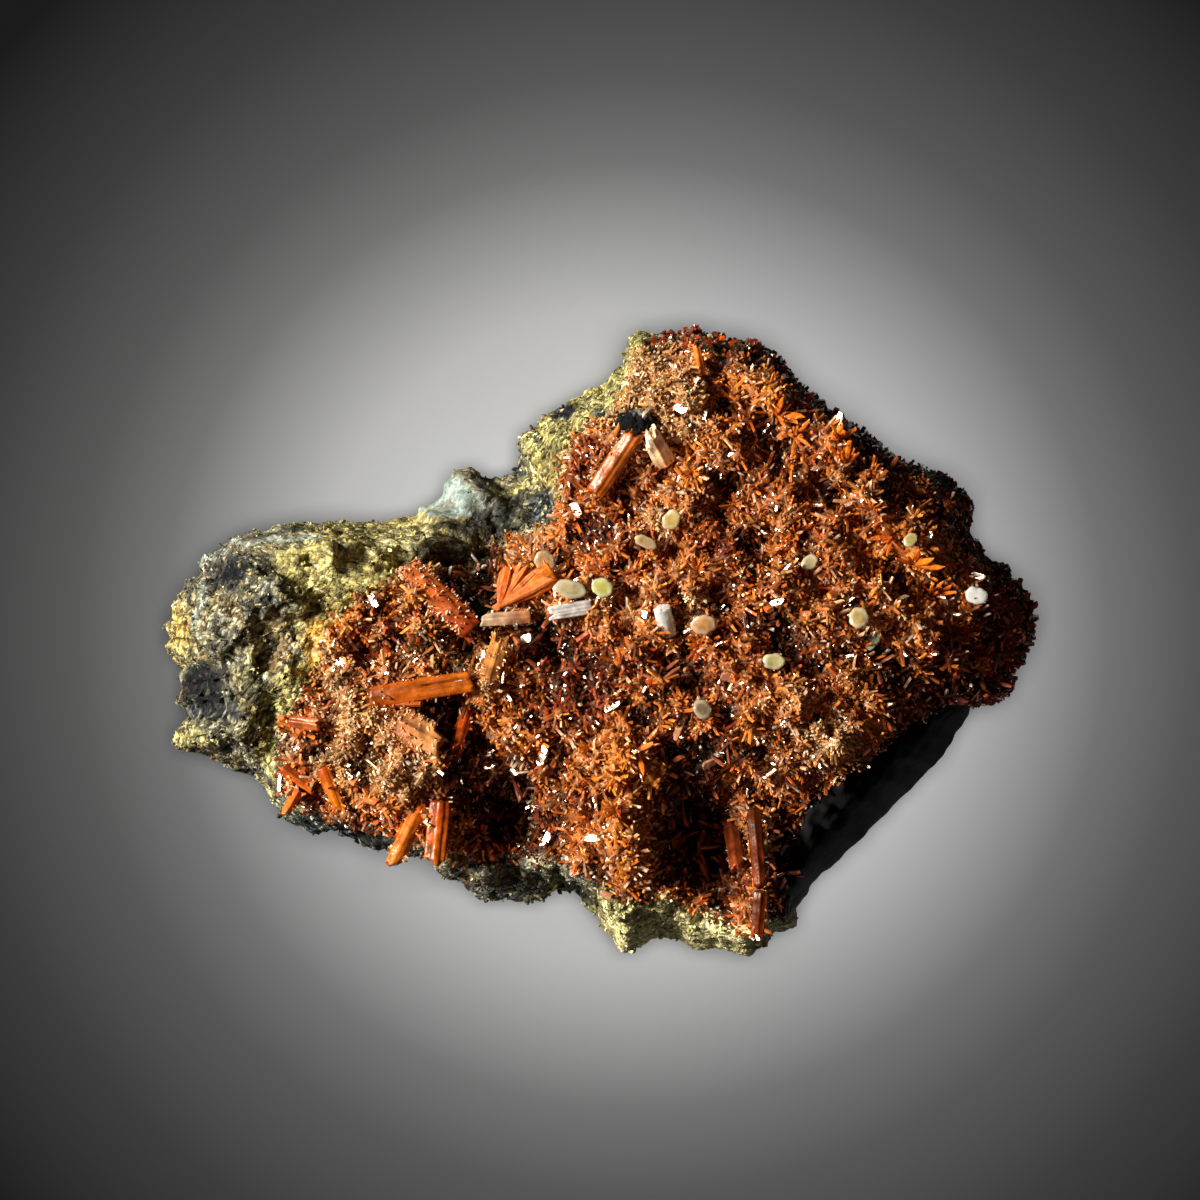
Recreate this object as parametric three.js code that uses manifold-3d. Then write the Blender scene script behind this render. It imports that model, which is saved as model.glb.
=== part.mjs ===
// A hand specimen of crocoite, lying on its flat back: a lump of gossan rock with an orange druse on top,
// larger blades and sprays of crocoite seated in the druse, pale grains and one black nodule.
// Millimetres, +Z up, +X to the right and +Y away from a person who looks down on the crystals.
// The origin is under the middle of the specimen, on the surface that it lies on.
import * as THREE from "three";
import { mergeVertices } from "three/addons/utils/BufferGeometryUtils.js";
import Module from "manifold-3d";

const wasm = await Module();
wasm.setup();

// ---- driving dimensions ----

const GIRTH_HEIGHT = 8; // the widest outline runs round the rock at about this height
const PLATEAU_HEIGHT = 19.5; // the rock under the druse, before its hollows and ridges
const SEAT_SHARE = 0.8; // the flat back, as a share of the widest outline
const DRUSE_THICKNESS = 2.3;
const DRUSE_EDGE = 0.9; // thickness at the druse's own border
const SEAT_GAP = 0.3; // between a crystal and the socket that it grows from
const DRUSE_RINGS = 10; // rings of points under the druse, and then out over the bare rock to its outline
const ROCK_RINGS = 14;
const WALL_ROWS = 3;
// Patterns of lumps: longest wave, its height, and how many waves are added up.
const GIRTH_LUMPS = [17, 1.1, 3];
const PLATEAU_LUMPS = [9, 0.8, 5];
const OUTLINE_LUMPS = [5, 0.35, 3];
const DRUSE_LUMPS = [3.4, 0.7, 2];
const FOOT_LUMPS = [8, 0.0125, 3]; // heights here are shares of the way to the middle
const WAVE_RATIO = 1.55; // each wave is this many times shorter and lower than the last
const DRUSE_SHIFT = [3, -5]; // sets the druse's lumps off from those of the rock
const WALL_MARGIN = 0.5; // the wall runs in this far under the druse's border
const WALL_SPAN = [2.6, 6]; // the wall's least and greatest width in plan
const DRUSE_THINS_FROM = 0.86; // share of the way to its border
const FOOT_CURVE = 1.6; // how the rock draws in under its girth: 1 would be a straight slope
const GOLDEN_ANGLE = 2.4; // radians
const GOLDEN_SHARE = 0.618; // the same, as a share of a turn

const CENTRE = new THREE.Vector2(1.9, -0.1); // every ray from here crosses the outline once

// The widest outline, clockwise from the left tip: x, y, and how far in from the outline the rock stays
// bare before the druse starts.
const OUTLINE = [
  [-40.0, 0.5, 14.5],
  [-39.5, 3.8, 15.0],
  [-36.6, 7.6, 15.5],
  [-33.2, 10.0, 15.7],
  [-28.0, 11.0, 12.0],
  [-18.5, 11.4, 9.0],
  [-14.8, 13.4, 7.1],
  [-12.6, 16.1, 8.2],
  [-9.2, 15.3, 5.8],
  [-7.2, 16.8, 6.7],
  [-6.6, 19.2, 7.0],
  [-3.6, 21.4, 3.4],
  [0.2, 22.9, 2.7],
  [2.3, 25.2, 2.3],
  [3.2, 27.9, 2.0],
  [6.5, 28.5, 2.0],
  [12.0, 28.0, 2.0],
  [17.4, 25.7, 2.0],
  [21.2, 22.2, 2.0],
  [29.0, 16.3, 2.0],
  [33.2, 14.2, 2.0],
  [34.4, 10.0, 2.5],
  [38.5, 5.8, 2.0],
  [40.0, 2.6, 2.0],
  [39.4, -0.8, 2.0],
  [37.8, -2.2, 2.0],
  [38.0, -4.0, 2.0],
  [34.0, -6.2, 3.3],
  [31.0, -10.8, 5.5],
  [23.0, -18.8, 6.1],
  [19.4, -22.2, 3.6],
  [17.8, -25.6, 2.8],
  [14.8, -27.8, 2.2],
  [12.0, -28.4, 3.7],
  [5.0, -27.0, 4.1],
  [1.9, -28.1, 5.0],
  [-2.0, -23.0, 2.6],
  [-8.5, -23.3, 4.2],
  [-14.8, -21.6, 3.0],
  [-16.6, -19.8, 2.4],
  [-24.6, -17.6, 2.5],
  [-29.2, -16.2, 2.7],
  [-31.0, -12.8, 2.6],
  [-36.5, -10.2, 8.0],
  [-39.2, -9.0, 11.0],
  [-38.4, -5.5, 11.8],
];

// Hollows and swells of the rock: centre, radii and height of a smooth bump, negative for a hollow.
const LANDFORMS = [
  { at: [-27, 6], radii: [12, 5], height: 4 }, // crest of the bare left lobe
  { at: [-33, -2], radii: [8, 8], height: 2 },
  { at: [14, 2], radii: [20, 16], height: 3.5 }, // the main dome
  { at: [42, -1], radii: [13, 15], height: -7 }, // the right side falls away
  { at: [-9.1, -16], radii: [4.2, 3.6], height: -7 }, // hollow between the two lobes
  { at: [9.3, -17.3], radii: [4.2, 4.8], height: -8 }, // deep vug near the lower edge
  { at: [16.8, -18.5], radii: [1.9, 4.2], height: -4 }, // gully between the vug and the right wall
  { at: [-10.5, 13], radii: [6.5, 4.5], height: -9 }, // recess with the quartz vein
  { at: [-9, 8], radii: [5, 2.6], height: -4 },
  { at: [-12.3, -6.8], radii: [1.6, 1.6], height: -3 },
  { at: [-24.2, -8.3], radii: [1.4, 1.8], height: -2.5 },
  { at: [-20, -12], radii: [8, 6], height: 1.5 },
  { at: [2.3, -18.2], radii: [3, 6], height: 2.5 }, // rib between hollow and vug
  { at: [16, -13.5], radii: [5, 2], height: -3 },
  { at: [8.3, -4.2], radii: [2.2, 1.8], height: -2 },
];

// Larger crystals: name, plan of the long axis at root and tip, how high each end's middle stands over the
// druse there, width across, thickness, how far the end is cut aslant, and how much it narrows.
const BLADES = [
  ["blade_slotted", [-20.4, -4.7], [-11.8, -3.4], [-0.1, 0.7], 2.1, 1.4, 0.4, 0.92],
  ["blade_leaning", [-11.7, 1.6], [-17.2, 7.0], [0.1, 2.1], 2.3, 1.6, -0.5, 0.8],
  ["blade_pink_stub", [-18.2, -6.8], [-14.9, -8.6], [0.5, 1.0], 2.6, 1.5, 0.3, 0.9],
  ["blade_at_pit", [-12.0, -6.0], [-12.8, -9.2], [0.2, 1.4], 1.1, 1.0, 0.4, 0.8],
  ["blade_column", [-10.6, -5.1], [-8.9, 0.6], [0.2, 2.2], 1.9, 1.5, -0.3, 0.75],
  ["blade_rim_left", [-16.2, -14.8], [-18.6, -19.7], [0.5, 3.4], 1.6, 1.3, 0.5, 0.85],
  ["blade_rim_right", [-14.4, -14.3], [-14.9, -19.4], [0.8, 3.0], 2.0, 1.4, 0.1, 0.95],
  ["blade_west_upper", [-28.5, -11.2], [-26.0, -13.0], [0.6, 1.2], 1.1, 0.9, 0.3, 0.8],
  ["blade_west_lower", [-27.2, -13.3], [-28.3, -15.2], [0.4, 1.8], 1.0, 0.9, 0.3, 0.8],
  ["blade_south_west", [-24.9, -11.2], [-23.5, -14.8], [0.3, 1.3], 1.2, 1.0, -0.3, 0.8],
  ["blade_west_block", [-27.8, -6.9], [-25.4, -7.2], [0.5, 1.2], 1.2, 1.0, 0.2, 0.9],
  ["blade_arrowhead", [-4.4, 6.3], [-9.1, 3.5], [0.4, 1.6], 2.4, 1.2, 0.2, 0.2],
  ["blade_pale", [-6.4, 2.5], [-10.7, 2.2], [0.4, 1.0], 1.3, 1.0, -0.3, 0.9],
  ["blade_silver", [-0.9, 3.4], [-4.4, 2.8], [0.8, 1.4], 1.4, 0.9, -0.4, 0.9],
  ["blade_north", [-0.3, 13.8], [3.0, 18.8], [0.3, 2.0], 1.9, 1.5, 0.3, 0.9],
  ["blade_north_stub", [5.8, 16.4], [4.5, 18.8], [0.3, 1.6], 2.0, 1.3, 0.4, 0.8],
  ["blade_summit", [9.1, 24.4], [8.7, 26.9], [0.1, 2.2], 0.9, 0.8, 0.2, 0.7],
  ["blade_vug_upper", [13.9, -15.2], [14.4, -21.6], [0.2, 1.0], 1.4, 1.2, 0.2, 0.8],
  ["blade_vug_lower", [14.5, -22.4], [14.2, -26.2], [0.4, 1.4], 1.4, 1.1, -0.2, 0.8],
  ["blade_vug_inner", [11.9, -16.3], [12.4, -20.3], [0.2, 1.8], 1.5, 1.2, 0.2, 0.8],
  ["pale_prism", [6.1, 1.0], [5.5, 3.3], [0.5, 1.2], 1.6, 1.3, 0.1, 0.95],
].map(([name, root, tip, lift, width, thick, slant, narrow]) => {
  return { name, root, tip, lift, width, thick, slant, narrow };
});
const SLOTTED_BLADE = "blade_slotted";
// The slot runs along that blade's upper side, between two shares of its length, a little aside from its
// middle, and leaves this share of its thickness.
const SLOT = { from: 0.52, to: 0.9, width: 0.28, aside: -0.28, leaves: 0.55 };
const PALE_BLADE = "pale_prism"; // the one that is pale like the grains

// Sprays of the druse: crystals that fan out from one root, between two plan directions in degrees.
const SPRAYS = [
  { root: [22.3, 16.4], count: 7, reach: 3.2, from: 20, to: 170, rise: 40 }, // on the ridge
  { root: [27.6, 5.8], count: 8, reach: 3.8, from: -20, to: 200, rise: 38 }, // star on the right
  { root: [3.7, -10.4], count: 9, reach: 3.0, from: 0, to: 360, rise: 40 }, // rosette
  { root: [16.8, 20.9], count: 6, reach: 3.0, from: 10, to: 160, rise: 42 }, // near the crown
];
const SPRAY_CRYSTAL_WIDTH = 0.95;

// Pale yellow grains: place, length and breadth in plan, turn in degrees.
const GRAINS = [
  { at: [-2.7, 5.0], size: [2.7, 1.7], turn: 0 },
  { at: [0.4, 5.6], size: [1.9, 1.6], turn: 20 },
  { at: [-5.4, 8.4], size: [1.9, 1.8], turn: 60 },
  { at: [6.4, 11.2], size: [1.8, 1.5], turn: 40 },
  { at: [4.1, 9.2], size: [1.9, 1.1], turn: -30 },
  { at: [9.3, 1.8], size: [2.0, 1.9], turn: 10 },
  { at: [15.6, -1.5], size: [1.8, 1.5], turn: 15 },
  { at: [9.2, -5.8], size: [1.6, 1.6], turn: 0 },
  { at: [23.2, 2.4], size: [1.9, 1.7], turn: -20 },
  { at: [18.8, 7.4], size: [1.6, 1.1], turn: 25 },
  { at: [27.9, 9.4], size: [1.3, 1.1], turn: 30 },
  { at: [34.0, 4.4], size: [1.8, 1.6], turn: -20 },
  { at: [24.6, 0.4], size: [1.8, 1.1], turn: 65 },
];
const NODULE = { at: [3.2, 20.6], size: [3.6, 2.6], turn: 10 };

// Small crystals of the druse, and how deep their roots lie in it.
const SMALL_CRYSTALS = 64;
const SMALL_LENGTH = [2.4, 3.8];
const SMALL_WIDTH = [1.0, 1.6];
const ROOT_DEPTH = 0.7;
const ROOT_CLEARANCE = 0.45; // they stop this far over the rock
const SMALL_RISE = [0.45, 1.25]; // radians over the level
const SMALL_SLANT = 0.7;
const SMALL_NARROW = 0.8;
const SMALL_FLATNESS = 0.8; // thickness over width
const SCATTER_SHARE = 0.9; // they keep to this share of the way to the druse's border
const SPRAY_RISE_SPREAD = [-10, 26]; // degrees, added to a spray's own rise
const SPRAY_REACH_SPREAD = [0.85, 1.2];

// ---- the lie of the rock ----

const rimCurve = new THREE.CatmullRomCurve3(
  OUTLINE.map(([x, y, bare]) => new THREE.Vector3(x, y, bare)),
  true,
  "catmullrom",
  0.5,
);
rimCurve.arcLengthDivisions = 1200;

// A pattern of lumps: sine waves, each shorter and lower than the last, each turned by the golden angle.
function lumps(x, y, longest, height, count) {
  let sum = 0;
  for (let i = 0; i < count; i++) {
    const wave = longest / WAVE_RATIO ** i;
    const turn = GOLDEN_ANGLE * i;
    const along = (x * Math.cos(turn) + y * Math.sin(turn)) / wave;
    const across = (y * Math.cos(turn) - x * Math.sin(turn)) / wave;
    const crests = Math.sin(2 * Math.PI * along + i) * Math.cos(2 * Math.PI * across + 2 * i);
    sum += (height / WAVE_RATIO ** i) * crests;
  }
  return sum;
}

const landform = (x, y) =>
  LANDFORMS.reduce((sum, { at, radii, height }) => {
    const across = (x - at[0]) / radii[0];
    const up = (y - at[1]) / radii[1];
    return sum + height * Math.exp(-across * across - up * up);
  }, 0);

const girthHeight = (x, y) => GIRTH_HEIGHT + lumps(x, y, ...GIRTH_LUMPS);

// The wall rises steeply at the outline and rounds off into the plateau.
function rockHeight({ x, y, inward, bare }) {
  const wall = THREE.MathUtils.clamp(bare + WALL_MARGIN, ...WALL_SPAN);
  const left = 1 - Math.min(1, inward / wall);
  const plateau = PLATEAU_HEIGHT + landform(x, y) + lumps(x, y, ...PLATEAU_LUMPS);
  const girth = girthHeight(x, y);
  return girth + (plateau - girth) * (1 - left * left);
}

// A point of the plan: share 0 is the centre and 1 the widest outline, u runs once round.
function planPoint(share, u) {
  const rim = rimCurve.getPointAt(u);
  const ray = new THREE.Vector2(rim.x, rim.y).sub(CENTRE);
  const inward = (1 - share) * ray.length();
  const ragged = 1 + (share * lumps(rim.x, rim.y, ...OUTLINE_LUMPS)) / ray.length();
  return {
    x: CENTRE.x + ray.x * share * ragged,
    y: CENTRE.y + ray.y * share * ragged,
    inward,
    share,
    bare: rim.z,
    reach: ray.length(),
  };
}

// Nested square rings of points on the plan give even triangles: ring k holds 8k points.
// height(plan point, ring) lifts each to its place. Sheets made on the same rings never cross.
function ringedSheet(rings, height) {
  const points = [];
  const first = [];
  for (let ring = 0; ring <= rings; ring++) {
    first.push(points.length);
    const around = Math.max(1, 8 * ring);
    for (let i = 0; i < around; i++) {
      const p = ringPoint(ring, i / around);
      points.push([p.x, p.y, height(p, ring)]);
    }
  }
  const faces = [];
  for (let ring = 1; ring <= rings; ring++) {
    const outer = (i) => first[ring] + (i % (8 * ring));
    const inner = (i) => (ring === 1 ? 0 : first[ring - 1] + (i % (8 * ring - 8)));
    for (let side = 0; side < 8; side++) {
      for (let i = 0; i < ring; i++) {
        const o = side * ring + i;
        const n = side * (ring - 1) + i;
        faces.push([outer(o), inner(n), outer(o + 1)]);
        if (i < ring - 1) faces.push([inner(n), inner(n + 1), outer(o + 1)]);
      }
    }
  }
  return { points, faces, rimStart: first[rings], rimCount: 8 * rings };
}

// Rows of points hung under a sheet's rim and a flat face across the last row close it to a solid.
function closeUnder(sheet, rows, foot) {
  const { points, faces, rimStart, rimCount } = sheet;
  let above = rimStart;
  for (let row = 1; row <= rows; row++) {
    const below = points.length;
    for (let i = 0; i < rimCount; i++) points.push(foot(points[rimStart + i], row / rows));
    for (let i = 0; i < rimCount; i++) {
      const next = (i + 1) % rimCount;
      faces.push([above + i, above + next, below + next], [above + i, below + next, below + i]);
    }
    above = below;
  }
  points.push(foot([CENTRE.x, CENTRE.y, 0], 1));
  for (let i = 0; i < rimCount; i++) {
    faces.push([above + i, above + ((i + 1) % rimCount), points.length - 1]);
  }
  return solidFrom(points.flat(), faces.flat());
}

// A slab between two sheets on the same rings.
function slabBetween(top, bottom) {
  const { rimStart, rimCount } = top;
  const under = top.points.length;
  const faces = [...top.faces, ...bottom.faces.map(([a, b, c]) => [under + a, under + c, under + b])];
  for (let i = 0; i < rimCount; i++) {
    const [a, b] = [rimStart + i, rimStart + ((i + 1) % rimCount)];
    faces.push([a, b, under + b], [a, under + b, under + a]);
  }
  return solidFrom([...top.points, ...bottom.points].flat(), faces.flat());
}

// ---- solids ----

function solidFrom(position, index) {
  const sized = { numProp: 3, vertProperties: new Float32Array(position) };
  const made = new wasm.Manifold(new wasm.Mesh({ ...sized, triVerts: new Uint32Array(index) }));
  if (made.volume() > 0) return made;
  for (let i = 0; i < index.length; i += 3) [index[i], index[i + 1]] = [index[i + 1], index[i]];
  return new wasm.Manifold(new wasm.Mesh({ ...sized, triVerts: new Uint32Array(index) }));
}

function solidOf(geometry) {
  const bare = geometry.clone();
  bare.deleteAttribute("normal");
  bare.deleteAttribute("uv");
  const merged = mergeVertices(bare, 1e-4);
  const kept = [];
  for (let i = 0; i < merged.index.count; i += 3) {
    const [a, b, c] = [0, 1, 2].map((k) => merged.index.getX(i + k));
    if (a !== b && b !== c && c !== a) kept.push(a, b, c);
  }
  return solidFrom([...merged.attributes.position.array], kept);
}

function geometryOf(solid) {
  const { vertProperties, triVerts, numProp } = solid.getMesh();
  const position = [];
  for (let i = 0; i < vertProperties.length; i += numProp) position.push(...vertProperties.slice(i, i + 3));
  const geometry = new THREE.BufferGeometry();
  geometry.setAttribute("position", new THREE.Float32BufferAttribute(position, 3));
  geometry.setIndex([...triVerts]);
  return geometry;
}

const union = (solids) => solids.reduce((all, one) => all.add(one));
const largest = (solid) => solid.decompose().sort((a, b) => b.volume() - a.volume())[0];

// A seeded random number, the same on every run.
let seed = 20;
function random(low = 0, high = 1) {
  seed = (seed * 16807) % 2147483647;
  return low + (high - low) * (seed / 2147483647);
}

// ---- the rock and its druse ----

// How far out on its ray, as a share of the way to the outline, the druse's border lies.
const borderShare = ({ bare, reach }) => 1 - bare / reach;

// The rings run out evenly over the druse, and then over the bare rock.
function ringPoint(ring, u) {
  const border = borderShare(planPoint(1, u));
  const share =
    ring <= DRUSE_RINGS
      ? border * (ring / DRUSE_RINGS)
      : THREE.MathUtils.lerp(border, 1, (ring - DRUSE_RINGS) / (ROCK_RINGS - DRUSE_RINGS));
  return planPoint(share, u);
}

// Below its widest outline the rock draws in, a little unevenly, to its flat back.
function rockFoot(rim, down) {
  const inset = 1 - (1 - SEAT_SHARE) * down ** FOOT_CURVE;
  const rough = down < 1 ? lumps(rim[0] + 7 * down, rim[1], ...FOOT_LUMPS) : 0;
  return [
    CENTRE.x + (rim[0] - CENTRE.x) * (inset + rough),
    CENTRE.y + (rim[1] - CENTRE.y) * (inset + rough),
    rim[2] * (1 - down),
  ];
}

const makeRock = () => closeUnder(ringedSheet(ROCK_RINGS, rockHeight), WALL_ROWS, rockFoot);

// The druse thins out over the last part of its way to its border.
function druseHeight(p) {
  const edge = THREE.MathUtils.smoothstep(p.share / borderShare(p), DRUSE_THINS_FROM, 1);
  const thickness = DRUSE_THICKNESS + lumps(p.x + DRUSE_SHIFT[0], p.y + DRUSE_SHIFT[1], ...DRUSE_LUMPS);
  return rockHeight(p) + THREE.MathUtils.lerp(thickness, DRUSE_EDGE, edge);
}

// The druse's height at a place, found by looking for the ray from the centre that runs through it.
// Past its border the druse keeps its border's height.
const RAYS = Array.from({ length: 720 }, (_, i) => planPoint(1, i / 720));
function surfaceAt(x, y) {
  const place = new THREE.Vector2(x, y).sub(CENTRE);
  const off = (ray) => new THREE.Vector2(ray.x, ray.y).sub(CENTRE).angleTo(place);
  const ray = RAYS.reduce((best, one) => (off(one) < off(best) ? one : best));
  const share = Math.min(place.length() / Math.hypot(ray.x - CENTRE.x, ray.y - CENTRE.y), borderShare(ray));
  return druseHeight({ ...ray, x, y, share, inward: (1 - share) * ray.reach });
}

// ---- crystals ----

// A prism along +Z with a flattened section of six or four sides, narrowed towards its tip and cut aslant.
const SECTIONS = {
  6: [[1, 0], [0.55, 1], [-0.55, 1], [-1, 0], [-0.55, -1], [0.55, -1]],
  4: [[1, 0], [0, 1], [-1, 0], [0, -1]],
};
function prism({ length, width, thick, slant = 0, narrow = 1, sides = 6 }) {
  const corners = SECTIONS[sides].map(([a, b]) => new THREE.Vector2((a * width) / 2, (b * thick) / 2));
  const section = new THREE.Shape(corners);
  const geometry = new THREE.ExtrudeGeometry(section, { depth: length, bevelEnabled: false });
  const position = geometry.attributes.position;
  for (let i = 0; i < position.count; i++) {
    if (position.getZ(i) < length / 2) continue;
    position.setZ(i, length + slant * position.getX(i));
    position.setX(i, position.getX(i) * narrow);
    position.setY(i, position.getY(i) * narrow);
  }
  return geometry;
}

// A unit vector from its heading in plan and its rise over the level, in radians.
const pointing = (heading, rise) =>
  new THREE.Vector3(Math.cos(heading) * Math.cos(rise), Math.sin(heading) * Math.cos(rise), Math.sin(rise));

// Turns +Z to run from root to tip, keeping the crystal's width level.
function between(root, tip) {
  const along = tip.clone().sub(root).normalize();
  const across = new THREE.Vector3(along.y, -along.x, 0).normalize();
  const turn = new THREE.Matrix4().makeBasis(across, along.clone().cross(across), along);
  return turn.setPosition(root);
}

// The slot's box, which opens on the blade's upper side.
function slotOf({ thick }, length, place) {
  const cut = new THREE.BoxGeometry(SLOT.width, thick, length * (SLOT.to - SLOT.from));
  cut.translate(SLOT.aside, -thick * SLOT.leaves, length * (SLOT.from + SLOT.to) / 2);
  return solidOf(cut.applyMatrix4(place));
}

// The crystal, and the socket that it stands in: the same crystal, larger by the gap on every side.
function bladePiece(blade) {
  const [root, tip] = [blade.root, blade.tip].map(
    ([x, y], end) => new THREE.Vector3(x, y, surfaceAt(x, y) + blade.lift[end]),
  );
  const place = between(root, tip);
  const length = root.distanceTo(tip);
  const make = (grow) => {
    const [width, thick] = [blade.width + 2 * grow, blade.thick + 2 * grow];
    const grown = prism({ ...blade, width, thick, length: length + 2 * grow }).translate(0, 0, -grow);
    return solidOf(grown.applyMatrix4(place));
  };
  const whole = make(0);
  const solid = blade.name === SLOTTED_BLADE ? whole.subtract(slotOf(blade, length, place)) : whole;
  const look = blade.name === PALE_BLADE ? "pale" : "crocoite";
  return { name: blade.name, solid, socket: make(SEAT_GAP), look };
}

// A pale grain: a short barrel of seven sides with a flat top, leaning a little.
const BARREL_SIDES = 7;
const BARREL_PROFILE = [[0, -0.9], [0.8, -0.7], [1, 0.1], [0.72, 0.8], [0, 0.9]];
const BARREL = BARREL_PROFILE.map((p) => new THREE.Vector2(...p));
const BARREL_LEAN = 0.25; // radians
const GRAIN_LIFT = 0.2; // of its breadth, over the druse
const BARREL_FLATNESS = 2.4; // its breadth over half its height
function grainPiece(name, { at, size, turn }, look) {
  const centre = surfaceAt(...at) + size[1] * GRAIN_LIFT;
  const make = (grow) => {
    const barrel = new THREE.LatheGeometry(BARREL, BARREL_SIDES).rotateX(Math.PI / 2 + BARREL_LEAN);
    barrel.scale(size[0] / 2 + grow, size[1] / 2 + grow, size[1] / BARREL_FLATNESS + grow);
    barrel.rotateZ(THREE.MathUtils.degToRad(turn));
    return solidOf(barrel.translate(...at, centre));
  };
  return { name, solid: make(0), socket: make(SEAT_GAP), look };
}

// A small crystal of the druse, four-sided, from its root at a plan point of the druse.
function smallCrystal([x, y, z], { heading, rise, length, width }) {
  const root = new THREE.Vector3(x, y, z - ROOT_DEPTH);
  const tip = pointing(heading, rise).multiplyScalar(length).add(root);
  const slant = random(-SMALL_SLANT, SMALL_SLANT);
  const thick = width * SMALL_FLATNESS;
  const geometry = prism({ length, width, thick, slant, narrow: SMALL_NARROW, sides: 4 });
  return solidOf(geometry.applyMatrix4(between(root, tip)));
}

// Crystals over the whole druse, spread by the golden angle, each leaning its own way.
const scatteredCrystals = () =>
  Array.from({ length: SMALL_CRYSTALS }, (_, i) => {
    const u = (i * GOLDEN_SHARE) % 1;
    const out = SCATTER_SHARE * Math.sqrt((i + 0.5) / SMALL_CRYSTALS);
    const p = planPoint(borderShare(planPoint(1, u)) * out, u);
    return smallCrystal([p.x, p.y, druseHeight(p)], {
      heading: random(0, 2 * Math.PI),
      rise: random(...SMALL_RISE),
      length: random(...SMALL_LENGTH),
      width: random(...SMALL_WIDTH),
    });
  });

const sprayCrystals = ({ root, count, reach, from, to, rise }) =>
  Array.from({ length: count }, (_, i) =>
    smallCrystal([...root, surfaceAt(...root)], {
      heading: THREE.MathUtils.degToRad(THREE.MathUtils.lerp(from, to, (i + 0.5) / count)),
      rise: THREE.MathUtils.degToRad(rise + random(...SPRAY_RISE_SPREAD)),
      length: reach * random(...SPRAY_REACH_SPREAD),
      width: SPRAY_CRYSTAL_WIDTH,
    }),
  );

// The roots of its crystals stop inside the druse, short of the rock.
function makeDruse(rock) {
  const crust = slabBetween(
    ringedSheet(DRUSE_RINGS, druseHeight),
    ringedSheet(DRUSE_RINGS, (p) => rockHeight(p) + SEAT_GAP),
  );
  const crystals = union([...scatteredCrystals(), ...SPRAYS.flatMap(sprayCrystals)]);
  return crust.add(crystals.subtract(rock.translate([0, 0, ROOT_CLEARANCE])));
}

// ---- the specimen ----

const finish = (color, roughness) => new THREE.MeshStandardMaterial({ color, roughness, metalness: 0 });
const LOOKS = {
  gossan: finish("#5d5340", 0.9),
  druse: finish("#b4561c", 0.4),
  crocoite: finish("#c9541a", 0.25),
  pale: finish("#d9cd92", 0.3),
  nodule: finish("#1d1c1b", 0.6),
};

const rock = makeRock();
const pieces = [
  ...GRAINS.map((grain, i) => grainPiece(`pale_grain_${i + 1}`, grain, "pale")),
  grainPiece("black_nodule", NODULE, "nodule"),
  ...BLADES.map(bladePiece),
  { name: "crocoite_druse", solid: makeDruse(rock), look: "druse" },
  { name: "gossan_rock", solid: rock, look: "gossan" },
];

// Where two pieces meet, the later one in the list has a socket cut for the earlier one.
const meet = (a, b) => {
  const [p, q] = [a.boundingBox(), b.boundingBox()];
  return [0, 1, 2].every((k) => p.max[k] >= q.min[k] && q.max[k] >= p.min[k]);
};
const specimen = new THREE.Group();
pieces.forEach((piece, i) => {
  const sockets = pieces.slice(0, i).flatMap(({ socket }) => socket ?? []);
  const cutting = sockets.filter((socket) => meet(socket, piece.solid));
  const seated = cutting.reduce((solid, socket) => solid.subtract(socket), piece.solid);
  const mesh = new THREE.Mesh(geometryOf(largest(seated)), LOOKS[piece.look]);
  mesh.name = piece.name;
  specimen.add(mesh);
});

export default specimen;
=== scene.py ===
# %% [markdown]
# # A hand specimen of crocoite
#
# Crocoite is lead chromate. It grows as orange to red prisms in the rusty, weathered top of a lead
# deposit. This specimen is a lump of gossan, the rock of that zone, lying on its back. Its upper face
# carries a druse, which is a carpet of small crystals grown side by side, with a few larger blades,
# some pale grains of another mineral and one black nodule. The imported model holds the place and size
# of every piece. This lesson adds what the eye reads: grain, crystal faces, gloss and colour.

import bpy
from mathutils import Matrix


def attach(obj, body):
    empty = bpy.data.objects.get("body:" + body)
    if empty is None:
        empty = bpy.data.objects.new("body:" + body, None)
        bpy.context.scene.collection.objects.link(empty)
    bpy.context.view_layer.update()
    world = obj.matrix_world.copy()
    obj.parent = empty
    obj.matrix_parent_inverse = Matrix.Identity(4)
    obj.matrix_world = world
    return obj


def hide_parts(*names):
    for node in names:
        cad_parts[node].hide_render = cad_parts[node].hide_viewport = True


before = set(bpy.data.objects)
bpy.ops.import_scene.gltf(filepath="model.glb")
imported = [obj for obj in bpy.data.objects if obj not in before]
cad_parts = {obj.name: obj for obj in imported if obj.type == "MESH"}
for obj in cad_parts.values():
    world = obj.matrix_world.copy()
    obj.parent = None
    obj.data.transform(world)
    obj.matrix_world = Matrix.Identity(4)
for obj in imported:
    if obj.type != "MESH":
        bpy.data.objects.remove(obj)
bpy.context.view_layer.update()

# %% [markdown]
# ## Working in millimetres
#
# Crystals are small, so every size here is in millimetres and is turned to metres once, when a mesh is
# made. Blender's shaders expect linear colour, while a colour picker gives sRGB hex, so one function
# turns the hex codes round.

# %% Units and colours
import itertools
import math

import bpy
import numpy as np
from mathutils import Vector

MM = 0.001


def linear(code):
    """sRGB hex to linear red, green and blue: the standard curve, straight near black, a power above."""
    share = np.array([int(code[k : k + 2], 16) for k in (1, 3, 5)]) / 255
    return np.where(share <= 0.04045, share / 12.92, ((share + 0.055) / 1.055) ** 2.4)


def mixed(a, b, share):
    """Colour a turned into colour b by a share from 0 to 1, for whole arrays of shares."""
    return a + (b - a) * np.clip(share, 0, 1)[..., None]


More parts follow.
